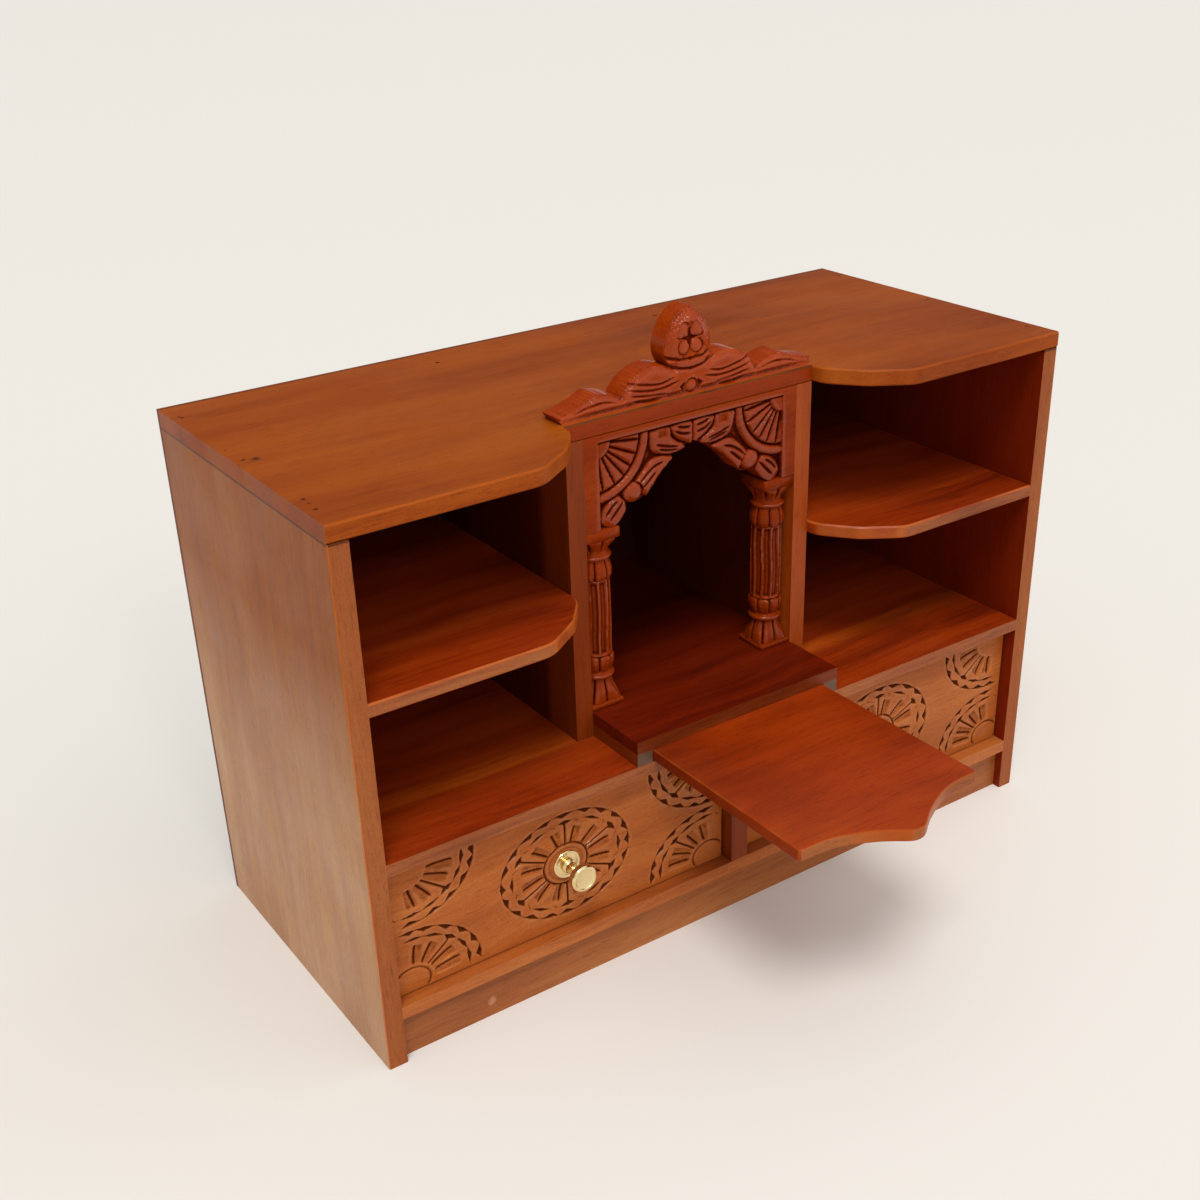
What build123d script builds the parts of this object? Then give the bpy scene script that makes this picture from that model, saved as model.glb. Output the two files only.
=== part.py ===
"""Home shrine: a tabletop cabinet with a carved niche, open shelves, two drawers and a tray.

Millimetres, +Z up, the front looks along -Y. The origin is on the floor, in the middle of the
cabinet's width, at the outer face of the back panel, where the cabinet meets a wall.
"""

import math
import os

from build123d import *

os.makedirs("parts", exist_ok=True)

# Case
case_width = 608.0
case_depth = 266.0
case_height = 400.0
side_thick = 14.0
top_thick = 12.0
back_thick = 4.0
edge_round = 1.2

# Boards across the case
base_top = 47.0
base_thick = 10.0
toe_thick = 12.0
toe_recess = 7.0
deck_top = 162.5
deck_thick = 9.5
shelf_top = 280.0
shelf_thick = 10.0
divider_thick = 15.0

# Niche between two partitions, set back from the case front
niche_width = 185.0
niche_recess = 55.0
partition_thick = 14.0
niche_floor_thick = 9.5
rail_width = 13.0
rail_height = 10.0

# Sweep of the top board and the shelves back to the niche: three corners, each rounded
sweep_width = 50.0
sweep_knee_x = 21.0
sweep_knee_y = 19.5
sweep_lead = 9.0
sweep_radius = 25.0

# Tray that slides between the rails, drawn pulled out, with a rounded tab to pull it by
tray_travel = 155.0
tray_gap = 0.5
tray_rise = 0.35
tab_half = 40.0
tab_depth = 30.0
tab_root_radius = 26.0
tab_tip_radius = 12.5

# Columns: their capital ends in a square abacus under the arch
column_size = 28.0
column_play = 0.4
shaft_radius = 11.6
base_height = 40.0
capital_height = 38.0
abacus_height = 8.0
plinth_height = 4.0
flute_count = 10
flute_radius = 2.7
flute_depth = 1.5
flute_sides = 8
petal_count = 8
ring_sides = 20

# Arch panel
arch_thick = 18.0
arch_foot = 22.5
arch_height = 68.0
arch_rise = 47.0

# Crest on the top board
crest_half = 109.0
crest_setback = 3.0
crest_thick = 20.0
crest_height = 60.0
crest_bevel = 3.5

# Drawers
drawer_recess = 10.0
drawer_gap = 1.5
drawer_lift = 0.5
drawer_head = 2.0
front_thick = 14.0
drawer_board = 8.0
drawer_side_height = 82.0
bottom_thick = 3.0
bottom_groove = 4.0
bottom_lift = 6.0

# Carving of the drawer fronts: an oval rosette, and a quarter of it in each corner
rosette_half_width = 54.0
rosette_half_height = 41.5
inner_share = 0.83
root_share = 0.46
scoop_share = 0.76
hub_radius = 17.5
corner_inset = 16.0
corner_rise = 8.5

# Cuts of the carving knife, each a width and a depth. A row's notches fill most of their step, and the
# body of each cut stands out of the face by a share of its depth.
notch_share = 0.92
cut_proud = 0.25
deep_cut = (4.0, 3.0)
fine_cut = (2.0, 1.5)
line_cut = (1.7, 1.3)
band_cut = (2.6, 2.0)
scoop_cut = (5.5, 2.0)
outer_notch = (2.6, 1.5)
inner_notch = (3.0, 1.8)
crest_cut = (2.4, 1.8)
star_cut = (7.0, 4.0)

# Knobs
plate_radius = 11.0
plate_thick = 2.0
plate_bevel = 1.2
knob_radius = 10.5
knob_reach = 22.0
knob_dish = 0.7
knob_rim = 2.6
knob_sides = 24
neck_radius = 3.8
collar_radius = 5.5
screw_radius = 2.0
screw_bite = 9.0
screw_head_radius = 4.0
screw_head_thick = 2.4
screw_play = 0.3
screw_sides = 12

# Nails
nail_radius = 1.0
nail_length = 26.0
nail_head_radius = 1.8
nail_head_thick = 1.0
nail_sink = 0.5
nail_inset = 26.0
nail_sides = 6

# Places that follow from the sizes above
half_width = case_width / 2
bay_outer = half_width - side_thick
front = -case_depth
back = -back_thick
under_top = case_height - top_thick
deck_under = deck_top - deck_thick
base_under = base_top - base_thick
niche_half = niche_width / 2
niche_outer = niche_half + partition_thick
niche_front = front + niche_recess
niche_floor_under = deck_top + rail_height
niche_floor_top = niche_floor_under + niche_floor_thick
spring_line = under_top - arch_height
column_height = spring_line - niche_floor_top
hands = {"left": -1, "right": 1}


def save(piece, name):
    """Label a finished piece and write it."""
    piece.label = name
    export_step(piece, f"parts/{name}.step")


def span(a, b):
    """Middle and length of a stretch between two places, in either order."""
    return (a + b) / 2, abs(b - a)


def board(x, y, z):
    """A square-edged board between two places on each axis."""
    (x_mid, x_len), (y_mid, y_len) = span(*x), span(*y)
    with BuildPart() as piece:
        with BuildSketch(Plane.XY.offset(min(z))):
            with Locations((x_mid, y_mid)):
                Rectangle(x_len, y_len)
        extrude(amount=abs(z[1] - z[0]))
    return piece.part


def drill(piece, points, radius, depth, direction):
    """Cut nail-shaped holes that start at points and run along a direction."""
    with BuildPart() as drilled:
        add(piece)
        for point in points:
            with BuildSketch(Plane(origin=point, z_dir=direction)):
                RegularPolygon(radius, nail_sides)
            extrude(amount=depth, mode=Mode.SUBTRACT)
    return drilled.part


def nail_holes(piece, heads, direction):
    """Cut the holes that the nails with these head centres leave in a piece."""
    sunk = drill(piece, heads, nail_radius, nail_length, direction)
    above = [tuple(p - nail_sink * d for p, d in zip(point, direction)) for point in heads]
    return drill(sunk, above, nail_head_radius, nail_sink + nail_head_thick, direction)


def nails(heads, direction):
    """Finishing nails, one solid each, as one group."""
    with BuildPart() as group:
        for point in heads:
            with BuildSketch(Plane(origin=point, z_dir=direction)):
                RegularPolygon(nail_radius, nail_sides)
            extrude(amount=nail_length)
            with BuildSketch(Plane(origin=point, z_dir=direction)):
                RegularPolygon(nail_head_radius, nail_sides)
            extrude(amount=nail_head_thick)
    return group.part


def stack(plane, levels, sides, turn=0.0):
    """Many-sided tapers on top of each other along a plane's axis, each level a height and a radius."""
    angles = [math.radians(turn + 360 * side / sides) for side in range(sides)]
    rings = [[plane.from_local_coords(Vector(radius * math.cos(angle), radius * math.sin(angle), z))
              for angle in angles] for z, radius in levels]
    faces = [Face(Wire.make_polygon(ring)) for ring in (rings[0], rings[-1])]
    for low, high in zip(rings, rings[1:]):
        for side in range(sides):
            following = (side + 1) % sides
            faces.append(Face(Wire.make_polygon([low[side], low[following], high[following], high[side]])))
    return Solid(Shell(faces))


def chip(face, start, end, cut, tapered=0.4):
    """A V-shaped chip with sloping ends, to cut between two places (x, z) of a face that looks along -Y."""
    width, depth = cut
    run = end[0] - start[0]
    rise = end[1] - start[1]
    length = math.hypot(run, rise)
    slope = min(width, length * tapered)
    proud = depth * cut_proud
    grown = 1 + proud / depth
    base = length + 2 * slope * (grown - 1)
    middle = ((start[0] + end[0]) / 2, face + (depth - proud) / 2, (start[1] + end[1]) / 2)
    wedge = Wedge(base, depth + proud, width * grown, slope * grown, width * grown / 2,
                  base - slope * grown, width * grown / 2, mode=Mode.PRIVATE)
    return wedge.moved(Location(middle, (0, -math.degrees(math.atan2(rise, run)), 0)))


def trail(face, points, cut, tapered=0.4):
    """A chain of chips along a row of places."""
    return [chip(face, start, end, cut, tapered) for start, end in zip(points, points[1:])]


# Nail places: down through the top board, and forward through the back panel
down = (0, 0, -1)
ahead = (0, -1, 0)
side_line = half_width - side_thick / 2
partition_line = niche_half + partition_thick / 2
top_heads = []
back_heads = []
for sign in hands.values():
    for y in (back - nail_inset, (front + back) / 2, front + nail_inset):
        top_heads.append((sign * side_line, y, case_height - nail_sink))
    for y in (back - nail_inset, niche_front + nail_inset):
        top_heads.append((sign * partition_line, y, case_height - nail_sink))
    for z in (base_under / 2, (base_top + deck_under) / 2, (deck_top + shelf_top) / 2,
              under_top - nail_inset):
        back_heads.append((sign * side_line, -nail_sink, z))
    back_heads.append((sign * partition_line, -nail_sink, shelf_top))
    back_heads.append((sign * bay_outer / 2, -nail_sink, case_height - top_thick / 2))
    back_heads.append((sign * bay_outer / 2, -nail_sink, deck_top - deck_thick / 2))


# Side panels, with the front outer edge eased
for hand, sign in hands.items():
    with BuildPart() as side_panel:
        add(board((sign * bay_outer, sign * half_width), (front, back), (0, under_top)))
        outer = side_panel.edges().filter_by(Axis.Z).group_by(Axis.Y)[0].sort_by(Axis.X)
        fillet(outer[-1 if sign > 0 else 0], radius=edge_round)
    panel = nail_holes(side_panel.part, [p for p in top_heads if p[0] * sign > 0], down)
    panel = nail_holes(panel, [p for p in back_heads if p[0] * sign > 0], ahead)
    save(panel, f"{hand}_side_panel")


# Top board, whose front sweeps back to the niche on both sides
def swept_edge(sign, outer):
    """A front edge from an outer place along the bay's front, and back to the partition's front."""
    FilletPolyline(
        (sign * outer, front),
        (sign * (niche_outer + sweep_width), front),
        (sign * (niche_outer + sweep_knee_x), front + sweep_knee_y),
        (sign * niche_outer, niche_front - sweep_lead),
        (sign * niche_outer, niche_front),
        radius=sweep_radius,
    )


with BuildPart() as top_board:
    with BuildSketch(Plane.XY.offset(under_top)):
        with BuildLine():
            swept_edge(1, half_width)
            swept_edge(-1, half_width)
            Line((niche_outer, niche_front), (-niche_outer, niche_front))
            Polyline((-half_width, front), (-half_width, back), (half_width, back), (half_width, front))
        make_face()
    extrude(amount=top_thick)
    rounded = [edge for edge in top_board.edges().filter_by(Axis.Z, reverse=True)
               if edge.center().Y < niche_front + edge_round]
    chamfer(rounded, length=edge_round)
save(nail_holes(nail_holes(top_board.part, top_heads, down), back_heads, ahead), "top_board")


# Back panel over the back edges of the case
back_panel = board((-half_width, half_width), (back, 0), (0, case_height))
save(nail_holes(back_panel, back_heads, ahead), "back_panel")


# Base board, toe board, deck and drawer divider
save(board((-bay_outer, bay_outer), (front, back), (base_under, base_top)), "base_board")
toe_front = front + toe_recess
save(board((-bay_outer, bay_outer), (toe_front, toe_front + toe_thick), (0, base_under)), "toe_board")
deck = board((-bay_outer, bay_outer), (front, back), (deck_under, deck_top))
save(nail_holes(deck, back_heads, ahead), "deck")
divider_half = divider_thick / 2
save(board((-divider_half, divider_half), (front, back), (base_top, deck_under)), "drawer_divider")


# Partitions and middle shelves
for hand, sign in hands.items():
    partition = board((sign * niche_half, sign * niche_outer), (niche_front, back), (deck_top, under_top))
    partition = nail_holes(partition, top_heads, down)
    save(nail_holes(partition, back_heads, ahead), f"{hand}_partition")

    with BuildPart() as shelf:
        with BuildSketch(Plane.XY.offset(shelf_top - shelf_thick)):
            with BuildLine():
                swept_edge(sign, bay_outer)
                Polyline((sign * niche_outer, niche_front), (sign * niche_outer, back),
                         (sign * bay_outer, back), (sign * bay_outer, front))
            make_face()
        extrude(amount=shelf_thick)
        rounded = [edge for edge in shelf.edges().filter_by(Axis.Z, reverse=True)
                   if edge.center().Y < niche_front - edge_round
                   and abs(edge.center().X) < bay_outer - edge_round]
        chamfer(rounded, length=edge_round)
    save(shelf.part, f"{hand}_shelf")


# Niche floor and the rails under it, both out to the case front
niche_floor = board((-niche_half, niche_half), (front, back), (niche_floor_under, niche_floor_top))
save(niche_floor, "niche_floor")
for hand, sign in hands.items():
    rail_inner = niche_half - rail_width
    rail = board((sign * rail_inner, sign * niche_half), (front, back), (deck_top, niche_floor_under))
    save(rail, f"{hand}_tray_rail")


# Pull-out tray: flat shoulders, hollow flanks and a round tab
tray_half = niche_half - rail_width - tray_gap
tray_front = front - tray_travel
tray_back = back - tray_travel - tray_gap
with BuildPart() as pull_out_tray:
    with BuildSketch(Plane.XY.offset(deck_top + tray_rise)) as outline:
        with BuildLine():
            Polyline((0, tray_front - tab_depth), (tab_half, tray_front), (tray_half, tray_front),
                     (tray_half, tray_back), (-tray_half, tray_back), (-tray_half, tray_front),
                     (-tab_half, tray_front), (0, tray_front - tab_depth))
        make_face()
        corners = outline.vertices().sort_by(Axis.Y)
        roots = [corner for corner in outline.vertices()
                 if abs(corner.Y - tray_front) < edge_round and abs(corner.X) < (tab_half + tray_half) / 2]
        fillet(corners[0], radius=tab_tip_radius)
        fillet(roots, radius=tab_root_radius)
    extrude(amount=rail_height - 2 * tray_rise)
    lip = [edge for edge in pull_out_tray.edges().filter_by(Axis.Z, reverse=True)
           if edge.center().Y < tray_front + edge_round]
    fillet(lip, radius=edge_round)
save(pull_out_tray.part, "pull_out_tray")


# Columns: carved rings and petals, each a height and a half width on a grid that fits the size.
# The base is 40 steps high, the capital 38, and both are 14 steps from the middle to the side.
column_steps = 14
base_petals = [(4, 13.6), (12, 13.2), (21, 10.4)]
base_ring = [(21, 10.6), (23.5, 12.6), (26, 10.6)]
base_collar = [(26, 10.8), (35, 12.9), (40, 11.6)]
bell_petals = [(0, 11.4), (10, 13.4), (15, 11)]
bell_ring = [(15, 11), (17, 12.8), (19, 11)]
capital_leaves = [(19, 11), (24, 11.4), (30, 14)]


def column(sign):
    """One column, standing on the niche floor against its partition."""
    x = sign * (niche_half - column_size / 2)
    y = niche_front + column_size / 2
    reach = (column_size / 2 - column_play) / column_steps
    shaft_low = niche_floor_top + base_height
    shaft_high = spring_line - capital_height
    half_turn = 180 / petal_count
    base_tiers = (
        (base_petals, petal_count, half_turn),
        (base_ring, ring_sides, 0),
        (base_collar, petal_count, 0),
    )
    top_tiers = (
        (bell_petals, petal_count, 0),
        (bell_ring, ring_sides, 0),
        (capital_leaves, petal_count, half_turn),
    )
    with BuildPart() as piece:
        for bottom, step, tiers in ((niche_floor_top, base_height / 40, base_tiers),
                                    (shaft_high, capital_height / 38, top_tiers)):
            for levels, sides, turn in tiers:
                sized = [(z * step, r * reach) for z, r in levels]
                add(stack(Plane(origin=(x, y, bottom)), sized, sides, turn))
        for low, tall in ((niche_floor_top, plinth_height), (spring_line - abacus_height, abacus_height)):
            with BuildSketch(Plane(origin=(x, y, low))):
                Rectangle(column_size, column_size)
            extrude(amount=tall)
        with BuildSketch(Plane(origin=(x, y, shaft_low))):
            Circle(shaft_radius)
            with PolarLocations(shaft_radius + flute_radius - flute_depth, flute_count):
                RegularPolygon(flute_radius, flute_sides, mode=Mode.SUBTRACT)
        extrude(amount=shaft_high - shaft_low)
    return piece.part


for hand, sign in hands.items():
    save(column(sign), f"{hand}_column")


def placed(points, grid, size, sign, origin):
    """Places on a face from grid steps, mirrored by sign and moved to an origin (x, z)."""
    return [(origin[0] + sign * i * size[0] / grid[0], origin[1] + j * size[1] / grid[1]) for i, j in points]


# Arch panel: a board between the partitions, on the columns, with a cusped opening.
# Its carving is drawn from the middle of the spring line on a grid of 70 by 68 steps a side.
arch_grid = (70, 68)
arch_rows = 47
arch_deep = [
    [(37.5, 61), (36, 46)],
    [(19.5, 60), (18.5, 53), (12, 47)],
    [(49.5, 28), (43, 35), (36.5, 41), (28, 42)],
    [(78.5, 9), (77, 19)],
    [(78, 16), (71.5, 20), (63, 24)],
    [(60, 19), (59.5, 24), (52, 28)],
]
arch_fine = [
    [(45.5, 25), (39.5, 31), (33, 35.5), (26.5, 37)],
    [(71, 6), (59.5, 17.5)],
    [(31.5, 50), (22, 47.5), (13, 47)],
    [(15.5, 56), (9, 53.5), (3.5, 52)],
    [(80, 62), (60, 62), (40, 62), (20, 62), (0, 62)],
]
arch_fan = (81.5, 62)
fan_lines = (8, 30, 57, 82)
with BuildPart() as arch_panel:
    opening = (niche_half - arch_foot, arch_height)
    with BuildSketch(Plane(origin=(0, niche_front, spring_line), x_dir=(1, 0, 0), z_dir=(0, -1, 0))):
        with BuildLine():
            for sign in hands.values():
                rise_grid = (arch_grid[0], arch_rows)
                cusps = placed(
                    [(0, 47), (7, 43.4), (17.5, 41), (17, 37.5), (29, 28.5), (40, 16.5), (48, 12.8),
                     (56, 15), (61, 5.8), (70, 0)], rise_grid, (opening[0], arch_rise), sign, (0, 0))
                ThreePointArc(*cusps[0:3])
                Line(cusps[2], cusps[3])
                ThreePointArc(*cusps[3:6])
                ThreePointArc(*cusps[5:8])
                ThreePointArc(*cusps[7:10])
                Polyline(cusps[9], (sign * niche_half, 0), (sign * niche_half, arch_height),
                         (0, arch_height))
        make_face()
    extrude(amount=-arch_thick)
    origin = (0, spring_line)
    chips = []
    for sign in hands.values():
        for row in arch_deep:
            chips += trail(niche_front, placed(row, arch_grid, opening, sign, origin), deep_cut)
        for row in arch_fine:
            chips += trail(niche_front, placed(row, arch_grid, opening, sign, origin), fine_cut)
        for radius in (37, 44.5):
            arc = [(arch_fan[0] - radius * math.cos(math.radians(angle)),
                    arch_fan[1] - radius * math.sin(math.radians(angle))) for angle in range(0, 91, 15)]
            chips += trail(niche_front, placed(arc, arch_grid, opening, sign, origin), band_cut)
        for angle in fan_lines:
            line = [(arch_fan[0] - radius * math.cos(math.radians(angle)),
                     arch_fan[1] - radius * math.sin(math.radians(angle))) for radius in (14, 33)]
            chips += trail(niche_front, placed(line, arch_grid, opening, sign, origin), scoop_cut)
    add(chips, mode=Mode.SUBTRACT)
save(arch_panel.part, "arch_panel")


# Crest: two scrolls a side and a lotus-bud finial, cut from one board.
# It is drawn from the middle of its foot on a grid of 109 by 60 steps a side.
crest_grid = (109, 60)
crest_lines = [
    [(96, 3.5), (84, 7.5), (72, 8.5), (58, 5)],
    [(53, 16), (40, 13.5), (26, 11.5), (13, 14)],
    [(52, 11.5), (38, 9), (24, 8), (9, 11)],
    [(50, 7.5), (36, 5), (20, 4)],
    [(9, 9), (5.5, 2)],
]
crest_edges = [
    [(112, 4), (95, 8), (86, 12.5), (79, 14.5), (70, 13.2), (58, 8.5)],
    [(57, 7), (52, 15), (46, 20), (38, 23.8), (30, 24.5), (15, 20)],
    [(18, 24), (20, 31), (19.5, 38), (17.2, 44.5), (13.5, 50), (7, 55.8), (-1, 60.5)],
]
crest_saucer = [
    [(19, 28), (10, 25.5), (0, 24.5)],
    [(19, 23), (10, 19.5), (0, 18)],
]
with BuildPart() as crest:
    size = (crest_half, crest_height)
    crest_face = niche_front + crest_setback
    with BuildSketch(Plane(origin=(0, crest_face, case_height), x_dir=(1, 0, 0), z_dir=(0, -1, 0))):
        with BuildLine():
            for sign in hands.values():
                scroll = placed(
                    [(0, 0), (106, 0), (109, 5), (95, 8), (79, 14.5), (68, 12.5), (58, 8.5), (46, 20),
                     (30, 24.5), (22, 23), (15, 20), (19, 27), (19.5, 37), (13.5, 50), (0, 60)],
                    crest_grid, size, sign, (0, 0))
                Polyline(*scroll[0:3])
                ThreePointArc(*scroll[2:5])
                ThreePointArc(*scroll[4:7])
                ThreePointArc(*scroll[6:9])
                ThreePointArc(*scroll[8:11])
                ThreePointArc(*scroll[10:13])
                ThreePointArc(*scroll[12:15])
        make_face()
    extrude(amount=-crest_thick)
    chips = []
    for sign in hands.values():
        for row in crest_edges:
            chips += trail(crest_face, placed(row, crest_grid, size, sign, (0, case_height)),
                           (2 * crest_bevel, crest_bevel), 0)
        for row in crest_lines + crest_saucer:
            chips += trail(crest_face, placed(row, crest_grid, size, sign, (0, case_height)), crest_cut)
        arm = placed([(10, 38), (0, 38), (0, 38 + 10 * sign), (0, 38)], crest_grid, size, sign,
                     (0, case_height))
        chips += trail(crest_face, arm[0:2], star_cut)
        chips += trail(crest_face, arm[2:4], star_cut)
    add(chips, mode=Mode.SUBTRACT)
save(crest.part, "crest")


def oval(middle, share, angle):
    """A place on an oval like the rosette's rim, as a share of its size, at an angle in degrees."""
    turn = math.radians(angle)
    return (middle[0] + share * rosette_half_width * math.cos(turn),
            middle[1] + share * rosette_half_height * math.sin(turn))


def oval_chips(face, middle, share, first, step, count, cut):
    """Chips round an oval, each a little shorter than its step."""
    half = step * notch_share / 2
    turns = [first + place * step for place in range(count)]
    return [chip(face, oval(middle, share, turn - half), oval(middle, share, turn + half), cut)
            for turn in turns]


def ray(face, middle, angle, root, tip, cut):
    """A chip that runs outwards on an oval, between two shares of its size."""
    return chip(face, oval(middle, root, angle), oval(middle, tip, angle), cut)


def front_chips(face, middle, half_length, low, high):
    """The rosette round the knob and the quarter rosettes in the corners of a drawer front."""
    hub = hub_radius / rosette_half_width
    chips = oval_chips(face, middle, 1.0, 0, 18, 20, outer_notch)
    chips += oval_chips(face, middle, inner_share, 0, 30, 12, inner_notch)
    chips += [ray(face, middle, angle, root_share, scoop_share, scoop_cut) for angle in range(15, 375, 30)]
    chips += [ray(face, middle, angle, root_share, inner_share, line_cut) for angle in range(30, 390, 60)]
    rim = [(middle[0] + hub_radius * math.cos(math.radians(angle)),
            middle[1] + hub_radius * math.sin(math.radians(angle))) for angle in range(0, 361, 30)]
    chips += trail(face, rim, line_cut)
    for side, level, first in ((-1, high, 270), (1, high, 180), (-1, low, 0), (1, low, 90)):
        corner = (middle[0] + side * (half_length - corner_inset),
                  level + (corner_rise if level == low else -corner_rise))
        chips += oval_chips(face, corner, 1.0, first + 9, 18, 5, outer_notch)
        chips += oval_chips(face, corner, inner_share, first + 9, 18, 5, inner_notch)
        chips += oval_chips(face, corner, hub, first + 22.5, 45, 2, line_cut)
        chips += [ray(face, corner, first + angle, hub, scoop_share, scoop_cut) for angle in fan_lines]
    return chips


# Drawers: boards round a bottom let into a groove, with a knob on the front
def drawer(hand, sign):
    """All pieces of one drawer, closed, resting just above the base board."""
    inner = sign * (divider_half + drawer_gap)
    outer = sign * (bay_outer - drawer_gap)
    low = base_top + drawer_lift
    high = deck_under - drawer_head
    face = front + drawer_recess
    inside = face + front_thick
    rear = back - drawer_gap
    side_top = low + drawer_side_height
    panel_low = low + bottom_lift
    inner_wall = inner + sign * drawer_board
    outer_wall = outer - sign * drawer_board
    middle = (inner + outer) / 2
    height = (low + high) / 2
    bore = screw_radius + screw_play

    groove = board((inner_wall - sign * bottom_groove, outer_wall + sign * bottom_groove),
                   (inside - bottom_groove, rear - drawer_board + bottom_groove),
                   (panel_low, panel_low + bottom_thick))
    save(groove, f"{hand}_drawer_bottom")

    walls = {
        "front": board((inner, outer), (face, inside), (low, high)),
        "inner_side": board((inner, inner_wall), (inside, rear), (low, side_top)),
        "outer_side": board((outer_wall, outer), (inside, rear), (low, side_top)),
        "back": board((inner_wall, outer_wall), (rear - drawer_board, rear), (low, side_top)),
    }
    for name, wall in walls.items():
        with BuildPart() as piece:
            add(wall)
            add(groove, mode=Mode.SUBTRACT)
            if name == "front":
                fillet(piece.faces().sort_by(Axis.Y)[0].edges(), radius=edge_round / 2)
                with BuildSketch(Plane(origin=(middle, face, height), z_dir=(0, 1, 0))):
                    RegularPolygon(bore, screw_sides)
                extrude(amount=front_thick, mode=Mode.SUBTRACT)
                add(front_chips(face, (middle, height), abs(outer - inner) / 2, low, high),
                    mode=Mode.SUBTRACT)
        save(piece.part, f"{hand}_drawer_{name}")

    plate_plane = Plane(origin=(middle, face, height), z_dir=(0, -1, 0))
    with BuildPart() as plate:
        add(stack(plate_plane, [(0, plate_radius), (plate_thick - plate_bevel, plate_radius),
                                (plate_thick, plate_radius - plate_bevel)], knob_sides))
        with BuildSketch(plate_plane):
            RegularPolygon(bore, screw_sides)
        extrude(amount=plate_thick, mode=Mode.SUBTRACT)
    save(plate.part, f"{hand}_drawer_knob_plate")

    knob_plane = plate_plane.offset(plate_thick)
    profile = [
        (0, collar_radius),
        (knob_reach * 0.15, neck_radius),
        (knob_reach * 0.4, neck_radius),
        (knob_reach * 0.47, collar_radius),
        (knob_reach * 0.53, neck_radius + knob_dish),
        (knob_reach * 0.66, knob_radius - knob_rim / 2),
        (knob_reach * 0.8, knob_radius),
        (knob_reach - knob_dish, knob_radius - knob_rim / 3),
        (knob_reach, knob_radius - knob_rim),
    ]
    with BuildPart() as knob:
        add(stack(knob_plane, profile, knob_sides))
        dish = stack(knob_plane, [(knob_reach - knob_dish, knob_radius - knob_rim - 2 * knob_dish),
                                  (knob_reach, knob_radius - knob_rim - knob_dish)], knob_sides)
        add(dish, mode=Mode.SUBTRACT)
        with BuildSketch(knob_plane):
            RegularPolygon(screw_radius, screw_sides)
        extrude(amount=screw_bite, mode=Mode.SUBTRACT)
    save(knob.part, f"{hand}_drawer_knob")

    with BuildPart() as screw:
        with BuildSketch(Plane(origin=(middle, inside, height), z_dir=(0, -1, 0))):
            RegularPolygon(screw_radius, screw_sides)
        extrude(amount=front_thick + plate_thick + screw_bite)
        with BuildSketch(Plane(origin=(middle, inside, height), z_dir=(0, 1, 0))):
            RegularPolygon(screw_head_radius, knob_sides)
        extrude(amount=screw_head_thick)
        chamfer(screw.faces().sort_by(Axis.Y)[-1].edges(), length=screw_head_thick / 3)
    save(screw.part, f"{hand}_drawer_knob_screw")


for hand, sign in hands.items():
    drawer(hand, sign)


# Nails
save(nails(top_heads, down), "top_nails")
save(nails(back_heads, ahead), "back_nails")
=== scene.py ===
"""The looks of the home shrine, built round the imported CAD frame.

Metres, +Z up, the front looks along -Y, as in the frame. Sizes of carvings are worked out in
millimetres from the middle of the case and turned into metres when a mesh is made.
"""

import math

import bpy
import numpy as np
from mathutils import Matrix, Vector
from mathutils.geometry import tessellate_polygon


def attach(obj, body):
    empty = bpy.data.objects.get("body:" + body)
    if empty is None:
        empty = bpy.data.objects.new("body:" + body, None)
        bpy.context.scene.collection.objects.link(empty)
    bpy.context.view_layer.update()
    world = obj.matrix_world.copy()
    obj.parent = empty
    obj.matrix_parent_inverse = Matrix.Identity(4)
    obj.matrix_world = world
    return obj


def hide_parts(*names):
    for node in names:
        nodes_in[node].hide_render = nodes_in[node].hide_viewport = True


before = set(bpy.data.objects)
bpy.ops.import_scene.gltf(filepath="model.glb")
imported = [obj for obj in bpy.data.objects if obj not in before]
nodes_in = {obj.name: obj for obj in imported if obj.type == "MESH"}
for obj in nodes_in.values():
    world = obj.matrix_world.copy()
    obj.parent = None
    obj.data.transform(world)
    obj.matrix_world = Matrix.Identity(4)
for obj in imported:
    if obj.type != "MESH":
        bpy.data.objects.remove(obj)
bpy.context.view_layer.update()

MM = 0.001
CORNERS = ((-1, -1), (1, -1), (1, 1), (-1, 1))


# Shader building

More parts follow.
